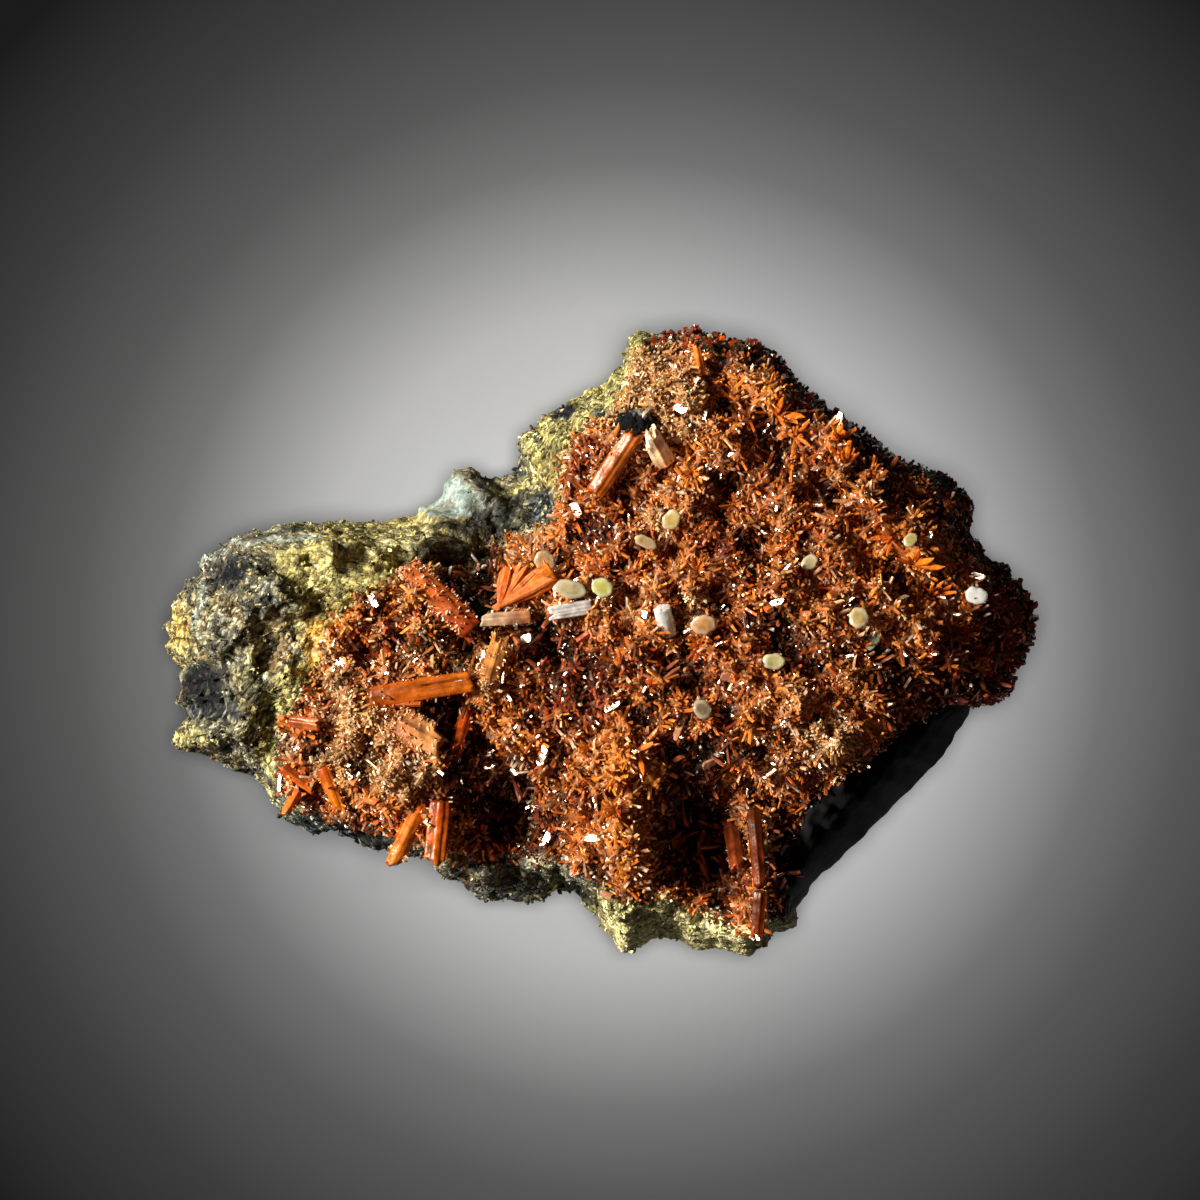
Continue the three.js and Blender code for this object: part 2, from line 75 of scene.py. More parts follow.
# %% [markdown]
# ## Chance that stays the same
#
# Nature is uneven, but a file has to give the same stone on every run. So the random numbers come
# from a formula: a cell's whole-number address is stirred into a number from 0 to 1. Value noise
# blends those numbers smoothly between cells, and the nearest-seed pattern tells each point which
# random seed point is closest. Rosettes, lumps and patches are all built from these two.

# %% Noise as whole arrays
STIR = (0x9E3779B1, 0x85EBCA77, 0xC2B2AE3D)


def chance(cells, seed):
    """A number from 0 to 1 for each row of whole numbers: multiply by odd numbers, fold high bits on low."""
    stirred = np.full(len(cells), seed * 7919 + 12345, np.uint32)
    for column, odd in zip(cells.T, STIR):
        stirred ^= column.astype(np.uint32) * np.uint32(odd)
        stirred ^= stirred >> np.uint32(15)
        stirred *= np.uint32(0x2C1B3C6D)
        stirred ^= stirred >> np.uint32(13)
    return stirred / 2.0**32


def noise(points, size, seed):
    """Value noise from -1 to 1: random numbers size mm apart, blended with a smooth fifth-power curve."""
    place = points / size
    cell = np.floor(place).astype(np.int64)
    part = place - cell
    part = part**3 * (part * (part * 6 - 15) + 10)
    total = np.zeros(len(points))
    for corner in itertools.product((0, 1), repeat=points.shape[1]):
        weight = np.prod(np.where(corner, part, 1 - part), axis=1)
        total += weight * chance(cell + corner, seed)
    return 2 * total - 1


def layered(points, layers, seed):
    """Noise of several sizes added up: layers is a list of (size, height) in mm."""
    return sum(height * noise(points, size, seed + k) for k, (size, height) in enumerate(layers))


def nearest_seed(points, size, seed):
    """The step from the nearest random seed to each point, and that seed's own number from 0 to 1.

    Every cell of a lattice holds one seed at a random place, and the cells next to a point's own are
    searched for the closest one.
    """
    place = points / size
    home = np.floor(place).astype(np.int64)
    best = np.full(len(points), 1e9)
    step = np.zeros_like(place)
    label = np.zeros(len(points))
    for shift in itertools.product((-1, 0, 1), repeat=points.shape[1]):
        cell = home + shift
        spot = cell + np.stack([chance(cell, seed + 11 * k) for k in range(1, points.shape[1] + 1)], 1)
        away = place - spot
        far = np.linalg.norm(away, axis=1)
        closer = far < best
        best = np.where(closer, far, best)
        step[closer] = away[closer]
        label[closer] = chance(cell[closer], seed)
    return step * size, label


def smooth(value, low, high):
    """0 at low, 1 at high, an S-shaped change between them, and level beyond them on either side."""
    share = np.clip((value - low) / (high - low), 0, 1)
    return share * share * (3 - 2 * share)


# %% [markdown]
# ## The lie of the rock
#
# The rock's widest outline is a closed curve through a few dozen points, and every ray from the middle
# crosses it once. So a place on the specimen is a share of the way out along its ray, and the rock's
# height is a function of it: a wall that rises from the outline, a plateau, and smooth hollows and
# swells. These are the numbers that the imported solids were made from, so the fine surfaces follow them.

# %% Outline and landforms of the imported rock, in millimetres
CENTRE = np.array([1.9, -0.1])
GIRTH_HEIGHT, PLATEAU_HEIGHT = 8.0, 19.5
SEAT_SHARE = 0.8
DRUSE_THICKNESS, DRUSE_EDGE = 2.3, 0.9

# x, y, and how far in from the outline the rock stays bare.
OUTLINE = np.array([
    [-40, 0.5, 14.5], [-39.5, 3.8, 15], [-36.6, 7.6, 15.5], [-33.2, 10, 15.7],
    [-28, 11, 12], [-18.5, 11.4, 9], [-14.8, 13.4, 7.1], [-12.6, 16.1, 8.2],
    [-9.2, 15.3, 5.8], [-7.2, 16.8, 6.7], [-6.6, 19.2, 7], [-3.6, 21.4, 3.4],
    [0.2, 22.9, 2.7], [2.3, 25.2, 2.3], [3.2, 27.9, 2], [6.5, 28.5, 2],
    [12, 28, 2], [17.4, 25.7, 2], [21.2, 22.2, 2], [29, 16.3, 2],
    [33.2, 14.2, 2], [34.4, 10, 2.5], [38.5, 5.8, 2], [40, 2.6, 2],
    [39.4, -0.8, 2], [37.8, -2.2, 2], [38, -4, 2], [34, -6.2, 3.3],
    [31, -10.8, 5.5], [23, -18.8, 6.1], [19.4, -22.2, 3.6], [17.8, -25.6, 2.8],
    [14.8, -27.8, 2.2], [12, -28.4, 3.7], [5, -27, 4.1], [1.9, -28.1, 5],
    [-2, -23, 2.6], [-8.5, -23.3, 4.2], [-14.8, -21.6, 3], [-16.6, -19.8, 2.4],
    [-24.6, -17.6, 2.5], [-29.2, -16.2, 2.7], [-31, -12.8, 2.6], [-36.5, -10.2, 8],
    [-39.2, -9, 11], [-38.4, -5.5, 11.8],
])

# Smooth bumps: x, y, two radii and a height, negative for a hollow.
LANDFORMS = np.array([
    [-27, 6, 12, 5, 4], [-33, -2, 8, 8, 2], [14, 2, 20, 16, 3.5], [42, -1, 13, 15, -7],
    [-9.1, -16, 4.2, 3.6, -7], [9.3, -17.3, 4.2, 4.8, -8], [16.8, -18.5, 1.9, 4.2, -4],
    [-10.5, 13, 6.5, 4.5, -9], [-9, 8, 5, 2.6, -4], [-12.3, -6.8, 1.6, 1.6, -3],
    [-24.2, -8.3, 1.4, 1.8, -2.5], [-20, -12, 8, 6, 1.5], [2.3, -18.2, 3, 6, 2.5],
    [16, -13.5, 5, 2, -3], [8.3, -4.2, 2.2, 1.8, -2],
])


def curve_through(points, steps=24):
    """A closed Catmull-Rom curve: between two points, a cubic that heads along their neighbours' chords."""
    a, b, c, d = (np.roll(points, k, axis=0)[:, None] for k in (1, 0, -1, -2))
    t = (np.arange(steps) / steps)[None, :, None]
    curve = b + 0.5 * ((c - a) * t + (2 * a - 5 * b + 4 * c - d) * t**2 + (3 * b - a - 3 * c + d) * t**3)
    return curve.reshape(-1, points.shape[1])


def bells(plan, places):
    """Smooth bumps added up: height * exp(-(dx / a)^2 - (dy / b)^2) for each place."""
    x, y = plan[:, 0], plan[:, 1]
    return sum(h * np.exp(-(((x - u) / a) ** 2) - ((y - v) / b) ** 2) for u, v, a, b, h in places)


rim = curve_through(OUTLINE)
rim_ray = rim[:, :2] - CENTRE
rim_angle = np.arctan2(rim_ray[:, 1], rim_ray[:, 0])
rim_reach = np.linalg.norm(rim_ray, axis=1)
print("outline points", len(rim), "reach from", rim_reach.min().round(1), "to", rim_reach.max().round(1))

# %% Heights as functions of a place
GOLDEN_ANGLE, EACH_SHORTER = 2.4, 1.55
# The outline's small lumps: the longest wave, its height and how many waves.
OUTLINE_LUMPS = (5, 0.35, 3)


def lumps(x, y, longest, height, count):
    """Sine waves added up, each 1.55 times shorter and lower than the last and turned by the golden angle."""
    total = 0
    for k in range(count):
        wave, turn = longest / EACH_SHORTER**k, GOLDEN_ANGLE * k
        along = (x * math.cos(turn) + y * math.sin(turn)) / wave
        across = (y * math.cos(turn) - x * math.sin(turn)) / wave
        swing = np.sin(math.tau * along + k) * np.cos(math.tau * across + 2 * k)
        total = total + height / EACH_SHORTER**k * swing
    return total


def rays(x, y):
    """For each place: its share of the way out to the outline, the ray's reach, and the bare width there."""
    east, north = x - CENTRE[0], y - CENTRE[1]
    angle, far = np.arctan2(north, east), np.hypot(east, north)
    reach = np.interp(angle, rim_angle, rim_reach, period=math.tau)
    bare = np.interp(angle, rim_angle, rim[:, 2], period=math.tau)
    at_rim = CENTRE[0] + reach * np.cos(angle), CENTRE[1] + reach * np.sin(angle)
    ragged = lumps(*at_rim, *OUTLINE_LUMPS)
    share = far / reach
    for _ in range(3):
        share = far / (reach + share * ragged)
    return share, reach, bare


def girth_height(x, y):
    """The height of the rock's widest line, which rises and falls gently round it."""
    return GIRTH_HEIGHT + lumps(x, y, 17, 1.1, 3)


def rock_height(x, y):
    """Girth plus a wall that rounds off into the plateau, with the smooth bumps and a pattern of lumps."""
    share, reach, bare = rays(x, y)
    wall = np.clip(bare + 0.5, 2.6, 6)
    left = 1 - np.clip((1 - share) * reach / wall, 0, 1)
    plateau = PLATEAU_HEIGHT + bells(np.stack([x, y], 1), LANDFORMS) + lumps(x, y, 9, 0.8, 5)
    girth = girth_height(x, y)
    return girth + (plateau - girth) * (1 - left * left)


def border_share(x, y):
    """How far out on its ray, as a share, the druse ends."""
    _, reach, bare = rays(x, y)
    return 1 - bare / reach


def druse_height(x, y):
    """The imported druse's upper side. Past its border it keeps its border's height."""
    share, reach, bare = rays(x, y)
    border = 1 - bare / reach
    back = np.minimum(1, border / np.maximum(share, 1e-6))
    u, v = CENTRE[0] + (x - CENTRE[0]) * back, CENTRE[1] + (y - CENTRE[1]) * back
    edge = smooth(np.minimum(share, border) / border, 0.86, 1)
    thickness = DRUSE_THICKNESS + lumps(x + 3, y - 5, 3.4, 0.7, 2)
    return rock_height(u, v) + thickness * (1 - edge) + DRUSE_EDGE * edge


# %% [markdown]
# ## One way to make a mesh, one way to add a shader node
#
# Each piece below is worked out as arrays of points and faces. One function hands them to Blender,
# hangs the piece on the body that it rides on, and hides the imported solid that it replaces. Another adds
# one shader node with its settings and links, so that a material reads as a list of what feeds what.

# %% Helpers for meshes and materials


def make_piece(name, points, faces, material, colour, replaces=(), flat=True):
    """Points in mm and arrays of faces to a mesh object on the root body, with a colour for each point.

    One array holds the faces that have the same number of corners, as rows of point numbers.
    A fourth column in colour says how grainy the surface is there, from 0 to 1; without it, it is 1.
    flat says how the faces are shaded: all flat, all smooth, or smooth for this many and then flat.
    """
    mesh, points = bpy.data.meshes.new(name), points.reshape(-1, 3)
    corners = np.concatenate([f.ravel() for f in faces])
    sizes = np.concatenate([np.full(len(f), f.shape[1]) for f in faces])
    mesh.vertices.add(len(points))
    mesh.vertices.foreach_set("co", (points * MM).astype(np.float32).ravel())
    mesh.loops.add(len(corners))
    mesh.loops.foreach_set("vertex_index", corners.astype(np.int32))
    mesh.polygons.add(len(sizes))
    mesh.polygons.foreach_set("loop_start", (np.cumsum(sizes) - sizes).astype(np.int32))
    mesh.update(calc_edges=True)
    mesh.validate()
    rgba = np.concatenate([colour, np.ones((len(points), 4 - colour.shape[1]))], axis=1)
    mesh.color_attributes.new("colour", "FLOAT_COLOR", "POINT").data.foreach_set("color", rgba.ravel())
    rounded = 0 if flat is True else int(flat) or len(sizes)
    mesh.polygons.foreach_set("use_smooth", np.arange(len(sizes)) < rounded)
    piece = bpy.data.objects.new(name, mesh)
    bpy.context.collection.objects.link(piece)
    mesh.materials.append(material)
    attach(piece, "root")
    if replaces:
        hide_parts(*replaces)
    print(f"{name}: {len(points)} points, {int((sizes - 2).sum())} triangles")


def add(tree, kind, settings=(), inputs=()):
    """Adds a shader node: settings by property name, inputs by socket, either a value or a link."""
    made = tree.nodes.new("ShaderNode" + kind)
    for name, value in dict(settings).items():
        if name == "ramp":
            ramp = made.color_ramp
            while len(ramp.elements) < len(value):
                ramp.elements.new(0.5)
            for stop, (place, colour) in zip(ramp.elements, value):
                stop.position = place
                stop.color = colour
        else:
            setattr(made, name, value)
    for socket, value in dict(inputs).items():
        if isinstance(value, bpy.types.NodeSocket):
            tree.links.new(value, made.inputs[socket])
        else:
            made.inputs[socket].default_value = value
    return made.outputs


def new_material(name):
    """An empty material with its output node: returns the material, its tree and the surface socket."""
    material = bpy.data.materials.new(name)
    material.use_nodes = True
    material.node_tree.nodes.clear()
    output = material.node_tree.nodes.new("ShaderNodeOutputMaterial")
    return material, material.node_tree, output.inputs["Surface"]


def ranged(tree, value, low, high, to_low, to_high):
    """Adds a node that maps low..high to to_low..to_high and holds the ends beyond."""
    return add(tree, "MapRange", {}, {"Value": value, 1: low, 2: high, 3: to_low, 4: to_high})[0]


def multiplied(tree, share, colour, by):
    """Adds a node that multiplies a colour by another, or only by a share of it."""
    return add(tree, "Mix", {"data_type": "RGBA", "blend_type": "MULTIPLY"}, {0: share, 6: colour, 7: by})[2]


def principled(tree, surface, inputs):
    """Adds the surface shader and links it to the material's output."""
    tree.links.new(add(tree, "BsdfPrincipled", {}, inputs)[0], surface)


def grid_faces(rows, columns):
    """Quads between neighbouring rows of points, numbered row by row, each row closed to a ring."""
    row = np.arange(rows - 1)[:, None] * columns
    here = np.arange(columns)[None]
    there = (here + 1) % columns
    corners = [row + here, row + columns + here, row + columns + there, row + there]
    return np.stack(corners, -1).reshape(-1, 4)


def capped(rows, columns):
    """The faces of a grid of rings whose first and last ring are closed by one flat face each."""
    ring = np.arange(columns)
    return [grid_faces(rows, columns), ring[None], (ring[::-1] + (rows - 1) * columns)[None]]


def fanned(rows, columns):
    """The faces of a grid of rings whose two ends are fans of triangles round the two points after it."""
    ring = np.arange(columns)
    beside, last, poles = np.roll(ring, -1), (rows - 1) * columns, rows * columns
    first_fan = np.stack([np.full(columns, poles), ring, beside], 1)
    last_fan = np.stack([np.full(columns, poles + 1), last + beside, last + ring], 1)
    return [grid_faces(rows, columns), first_fan, last_fan]


def many_capped(count, rings, sides):
    """The faces of count equal prisms whose points follow each other, wound the other way round."""
    base = np.arange(count)[:, None, None] * rings * sides
    walls, *caps = (face[:, ::-1] for face in capped(rings, sides))
    return [(base + walls).reshape(-1, 4), (base + np.concatenate(caps)).reshape(-1, sides)]


def unit(vectors):
    """Vectors divided by their own length."""
    return vectors / np.maximum(np.linalg.norm(vectors, axis=-1, keepdims=True), 1e-9)


# %% [markdown]
# ## Gossan: rust-coloured rock
#
# Gossan is what weathering leaves of an ore vein: yellow and brown limonite, black manganese oxide, and
# veins of pale quartz that didn't dissolve. Its surface has no polish at all, because it is a mass of
# grains and pores. A rock's colour changes from place to place, so it is worked out for each point of
# the mesh from patches, and the shader only adds the speckle that is finer than the mesh.

# %% Where each kind of rock shows
OCHRE, RUST, GREY, BLACK, QUARTZ, STEEL, OLIVE, CREAM, AMBER, LEMON, WALL_SHADOW, RIM_BROWN_SHADE = (
    linear(code)
    for code in ("#c4b672", "#806238", "#7d7868", "#121315", "#99a9a1", "#5a6268", "#8a825a", "#e8e2c8",
                 "#c48e34", "#f6e8a8", "#030304", "#5e2c12")
)

# Patches of the bare rock: x, y, two radii, and how strongly the kind shows in the middle.
OCHRE_PATCHES = np.array([
    [-20.5, 7.5, 6.5, 4.4, 1.7], [-24.8, 2, 2.6, 5, 1.4], [-27, -5.5, 2, 4.4, 0.9],
    [-2.5, 18.5, 4, 9, 1.4], [7, -26.2, 9, 3.2, 2.2], [-38.6, 1.2, 1.5, 3.6, 1.1],
    [-31, -0.5, 2.6, 4, 0.3], [-37.8, -8.8, 3, 1.6, 0.7], [3, 27, 2.5, 4, 0.9],
    [-30, -9.5, 2, 4, 0.6],
])
AMBER_PATCHES = np.array([
    [-25.6, 1.2, 1.3, 3.4, 0.9], [-38.4, 1.4, 1.2, 2.4, 0.8], [-21, 3.4, 2, 1.2, 0.6],
    [-4.5, 15, 1.5, 3, 0.4],
])
# The first patch, on the south rim, is partly painted light: the rim faces away from the key light and is
# made paler.
LEMON_PATCHES = np.array([
    [7, -26.6, 9, 3, 2], [-16.5, 9.5, 3.5, 1.6, 0.7], [-4.2, 17, 2, 3, 0.3],
    [-22.5, 8, 2.6, 1.4, 0.6], [-9, -24.6, 1.6, 0.8, 0.6],
])
QUARTZ_PATCHES = np.array([
    [-14.4, 13.4, 3.2, 2.4, 1.3], [-11.5, 12.6, 2.4, 1.2, 0.8], [33.5, 11, 2.2, 3.6, 0.4],
])
BLACK_PATCHES = np.array([
    [-24.6, -17, 7.4, 2.6, 1.3], [-8.5, -22.8, 8, 2.2, 0.5], [-5, 12.5, 2, 2.2, 1],
    [-8, 16.4, 2.2, 1.4, 0.8], [-2.9, 21, 1.4, 1, 1], [0.3, 20.8, 1.2, 0.9, 0.8],
    [36, 8, 5, 9, 0.5], [-36, -3.9, 2.3, 2.9, 1.2], [-33.2, 6.2, 3.4, 1.9, 0.9],
    [-30, 3.4, 1, 1.8, 0.6], [-33.8, -6.6, 1.6, 1.4, 0.6],
])
# Red-brown on the east and north-east rims: partly their own dark brown, partly painted shade where they
# slope away from the key light.
RIM_BROWN_SHADE_PATCHES = np.array([[36.0, 3.0, 5.0, 14.0, 1.3], [22.0, 21.0, 12.0, 6.0, 1.1]])
# Painted shadow: near-black on the south-east wall, which faces away from the key light.
WALL_SHADOW_PATCHES = np.array([[26.0, -16.0, 13.0, 9.0, 2.6], [34.0, -8.0, 6.0, 4.0, 1.6]])
SHADE_PATCHES = np.array([
    [-14.5, 8, 5, 1.6, 0.9], [-9.5, 11, 3.4, 1.4, 0.6], [-36.2, -4, 2.2, 2.6, 1.3],
    [-8, 13.5, 2.4, 1.2, 0.5], [-3.6, 17.5, 2.4, 5, 0.6], [-33, 6, 3, 1.4, 0.6],
    [-13.5, 10.6, 5, 1.2, 0.5],
])

# Where the rock is smooth, and how much of its roughness is taken away there, and where it is dented.
SMOOTH_PATCHES = np.array([
    [-14.4, 13.4, 4, 3.2, 0.95], [27, -14.5, 13, 9, 0.95], [-30, 9.6, 5, 1.6, 0.5],
    [34, -10, 5, 5, 0.9], [21, -21, 6, 5, 0.9], [7, -26.8, 9, 2.2, 0.3],
    [-35.2, -3.7, 2, 2.4, 0.2], [-20.5, 7.5, 6.5, 4, 0.45],
])
DENTS = np.array([
    [-35.6, -4, 2, 2.7, 1.3], [-33.2, 6, 2.4, 1.5, 0.6], [-30.2, -5.5, 1.2, 2.4, 0.6],
    [-33.5, -1, 0.8, 3, 0.4],
])
# Thin pale veins, as lines of x and y.
VEINS = (
    ((-33.6, 9.4), (-32.2, 9.1), (-29.8, 9.6), (-27.6, 9.3), (-25.2, 9.8)),
    ((-36.6, 7.5), (-35.6, 8.0), (-34.4, 8.3)),
    ((-35.9, 5.6), (-35.7, 4.0), (-36.6, 2.4), (-36.4, 0.8)),
)
VEIN_WIDTH = 0.34
VEIN_COLOUR = QUARTZ + 0.3 * (CREAM - QUARTZ)
GRAIN_SIZE = 0.3


def vein_share(points):
    """How far each point lies in a vein, from 0 to 1: by its distance to the vein's straight pieces."""
    place = points[:, :2] + 0.25 * np.stack([noise(points, 1.1, 61), noise(points, 1.1, 62)], 1)
    nearest = np.full(len(points), 1e9)
    for line in VEINS:
        for start, end in itertools.pairwise(np.array(line)):
            step = end - start
            share = np.clip((place - start) @ step / (step @ step), 0, 1)
            nearest = np.minimum(nearest, np.linalg.norm(place - start - share[:, None] * step, axis=1))
    return 1 - smooth(nearest, 0.4 * VEIN_WIDTH, VEIN_WIDTH)


def patch_strength(points, patches, seed):
    """How strongly a kind of rock shows: its patches as bells, frayed by noise."""
    return bells(points, patches) + layered(points, [(4.0, 0.25), (1.6, 0.2), (0.7, 0.16)], seed)


def laid_out(points):
    """The points in a frame that is stretched along the rock's grain, so that noise draws out to streaks."""
    return np.stack([0.27 * points[:, 0] + 0.42 * points[:, 1], 1.1 * points[:, 0] - 0.7 * points[:, 1],
                     points[:, 2]], 1)


def rock_colour(points, own=None):
    """Grey gossan with brown and olive in it, overlaid by ochre, quartz, black and steel-blue patches.
    It also carries painted shade: black in the shade patches, a near-black painted shadow on the
    south-east wall, and red-brown on the east rims, partly their own brown. The pale yellow of the
    south rim is partly painted light.

    own is a random number for each point: grains that lie side by side differ as much as patches do.
    """
    own = chance(np.floor(points / GRAIN_SIZE).astype(np.int64), 23) if own is None else own
    ochre, amber, lemon, black, wall_shadow, shade, rim_brown_shade = (
        smooth(patch_strength(points, patches, 3 + k) + spread * (own - 0.5), low, high)
        for k, (patches, spread, low, high) in enumerate([
            (OCHRE_PATCHES, 0.4, 0.3, 0.8), (AMBER_PATCHES, 0.6, 0.3, 0.8), (LEMON_PATCHES, 0.8, 0.3, 0.8),
            (BLACK_PATCHES, 0.3, 0.35, 0.75), (WALL_SHADOW_PATCHES, 0.0, 0.4, 0.8), (SHADE_PATCHES, 0.2, 0.3, 0.8),
            (RIM_BROWN_SHADE_PATCHES, 0.3, 0.3, 0.8),
        ])
    )
    quartz = smooth(patch_strength(points, QUARTZ_PATCHES, 5), 0.5, 0.8)
    streak = laid_out(points)
    colour = GREY
    for tint, strength, place, layers, seed, low, high in (
        (RUST, 0.8, points, [(5.0, 0.6), (1.5, 0.6)], 9, 0.0, 0.7),
        (OLIVE, 0.75, streak, [(4.0, 0.5), (1.2, 0.4)], 11, -0.1, 0.4),
        (STEEL, 0.4, points, [(3.0, 0.4), (0.8, 0.6)], 13, 0.25, 0.6),
        (BLACK, 0.7, streak, [(2.0, 0.7), (0.7, 0.6)], 15, 0.25, 0.65),
    ):
        colour = mixed(colour, tint, strength * smooth(layered(place, layers, seed), low, high))
    colour = mixed(colour, mixed(RUST, OCHRE, 0.5 + 0.8 * own), ochre)
    colour = mixed(mixed(colour, AMBER, 0.8 * amber), LEMON, 0.9 * lemon)
    colour = mixed(colour, CREAM, smooth(own, 0.9, 0.97) * 0.55)
    colour = mixed(colour, mixed(BLACK, STEEL, 1.8 * (own - 0.4)), black * (1 - 0.85 * (own > 0.88)))
    glass = mixed(QUARTZ, GREY, smooth(layered(streak, [(1.2, 0.6), (0.4, 0.4)], 17), 0.0, 0.5) * 0.8)
    # Red-brown on the east rims, partly their own brown and partly painted shade.
    colour = mixed(mixed(colour, RIM_BROWN_SHADE, 0.85 * rim_brown_shade), glass, quartz)
    colour = mixed(colour, VEIN_COLOUR, 0.9 * vein_share(points))
    # Painted shade: black where the shade patches lie, and the near-black painted shadow on the south-east
    # wall.
    colour = mixed(mixed(colour, BLACK, 0.85 * shade), WALL_SHADOW, wall_shadow)
    blotch = 1 + layered(points, [(3.6, 0.3), (1.5, 0.25)], 19)
    return np.clip(colour * ((0.55 + 0.65 * own) * blotch)[:, None], 0, 1)


# %% Gossan material
def gossan_material(name, roughness, depth):
    """Matt rock of fine grains: each has its own tone and gloss, and a groove runs between them.

    Two sizes of cells give the grains, 0.38 mm and 0.16 mm, and noise dirties them. The colour's fourth
    number, its alpha, fades the grains and their gloss out where the rock is smooth.
    """
    material, tree, surface = new_material(name)
    place = add(tree, "TexCoord")["Object"]
    attribute = add(tree, "Attribute", {"attribute_name": "colour"})
    base, grainy = attribute["Color"], attribute["Alpha"]
    dirt = add(tree, "TexNoise", {}, {"Vector": place, "Scale": 3000.0, "Detail": 3.0, "Roughness": 0.7})
    laid = add(tree, "Mapping", {"vector_type": "TEXTURE"}, {
        "Vector": place, "Rotation": (0.0, 0.0, 1.0), "Scale": (1.5, 0.85, 0.85),
    })
    bent = add(tree, "VectorMath", {"operation": "MULTIPLY_ADD"}, {
        0: dirt["Color"], 1: (0.0003,) * 3, 2: laid[0],
    })
    grain = add(tree, "TexVoronoi", {}, {"Vector": bent["Vector"], "Scale": 2600.0})
    sand = add(tree, "TexVoronoi", {}, {"Vector": bent["Vector"], "Scale": 6200.0})
    pick = add(tree, "SeparateColor", {}, {0: grain["Color"]})
    tone = add(tree, "ValToRGB", {"ramp": [
        (0.0, (0.12, 0.12, 0.13, 1)), (0.3, (0.5, 0.52, 0.52, 1)), (0.8, (1.2, 1.25, 1.15, 1)),
        (0.95, (1.9, 1.98, 1.85, 1)),
    ]}, {"Fac": pick["Red"]})
    shade = multiplied(tree, grainy, base, tone["Color"])
    speck = ranged(tree, dirt["Fac"], 0.3, 0.7, 0.5, 1.4)
    dusty = multiplied(tree, 1.0, shade, speck)
    glint = add(tree, "Math", {"operation": "MULTIPLY"}, {0: pick["Green"], 1: grainy})
    fresh = ranged(tree, glint[0], 0.82, 0.9, roughness, 0.22)
    hill = ranged(tree, grain["Distance"], 0.0, 0.9, 1.0, 0.0)
    knoll = ranged(tree, sand["Distance"], 0.0, 0.9, 0.5, 0.0)
    high = add(tree, "Math", {"operation": "ADD"}, {0: hill, 1: knoll})
    bump = add(tree, "Bump", {}, {"Strength": grainy, "Distance": depth, "Height": high[0]})
    principled(tree, surface, {
        "Base Color": dusty, "Roughness": fresh, "Normal": bump[0], "IOR": 1.6, "Specular IOR Level": 0.15,
    })
    return material


gossan = gossan_material("limonite_gossan_weathered", 0.85, 0.00022)

# %% [markdown]
# The rock's form is a profile carried round the middle: out over the bare rock, down the wall, in under
# it, and back across the flat seat. Each ray's profile is cut into equal steps, so the faces keep one
# size, and then every point is moved along its own normal by layered noise. Under the druse the rock is
# never seen, so it is a few wide steps there, sunk below the deepest hollow.

# %% Gossan rock
RAYS = 720
TOP_STEPS, WALL_STEPS, SEAT_STEPS, HIDDEN_STEPS, FINE_STEPS = 60, 40, 12, 8, 112
# In mm: how high the hidden middle lies, how far the rock is sunk under the druse, and up to what height
# its relief fades out towards the flat seat.
BURIED_HEIGHT, SUNK_BY, CALM_HEIGHT = 7.0, 0.5, 2.5
BLOCK_SIZE = 3.6  # mm, how far apart the crags stand
# Where the broken wall runs nearly straight: x, y, two radii, and how much of the outline's lumps it loses.
STRAIGHT = [[27.0, -15.5, 9.0, 8.0, 1.3]]


def evenly(paths, count):
    """Each path's points moved to equal steps along it, by looking up the running length."""
    length = np.linalg.norm(np.diff(paths, axis=1), axis=2)
    run = np.concatenate([np.zeros((len(paths), 1)), np.cumsum(length, axis=1)], axis=1)
    run = run / run[:, -1:] + 2 * np.arange(len(paths))[:, None]
    wanted = np.linspace(0, 1, count)[None] + 2 * np.arange(len(paths))[:, None]
    looked_up = [np.interp(wanted.ravel(), run.ravel(), paths[..., k].ravel()) for k in range(3)]
    return np.stack(looked_up, -1).reshape(len(paths), count, 3)


# Rays stand closer together where more bare rock shows.
crowding = np.linalg.norm(np.diff(rim[:, :2], axis=0, append=rim[:1, :2]), axis=1)
crowding = crowding * (1 + 0.12 * rim[:, 2])
run = np.cumsum(crowding) / crowding.sum()
angles = np.interp(np.linspace(0, 1, RAYS, endpoint=False), run, np.unwrap(rim_angle))[::-1]
heading = np.stack([np.cos(angles), np.sin(angles)], 1)
reach = np.interp(angles, rim_angle, rim_reach, period=math.tau)
outline_plan = CENTRE + heading * reach[:, None]
straight = np.clip(bells(outline_plan, STRAIGHT), 0, 0.9)
reach = reach + lumps(*outline_plan.T, *OUTLINE_LUMPS) * (1 - straight)
border = border_share(*(CENTRE + heading * reach[:, None] * 0.5).T)


def on_rays(share):
    """Points of the rock's top at shares of the way out along every ray."""
    plan = CENTRE + heading[:, None] * (reach[:, None] * share)[..., None]
    z = rock_height(*plan.reshape(-1, 2).T).reshape(share.shape)
    return np.concatenate([plan, z[..., None]], -1)


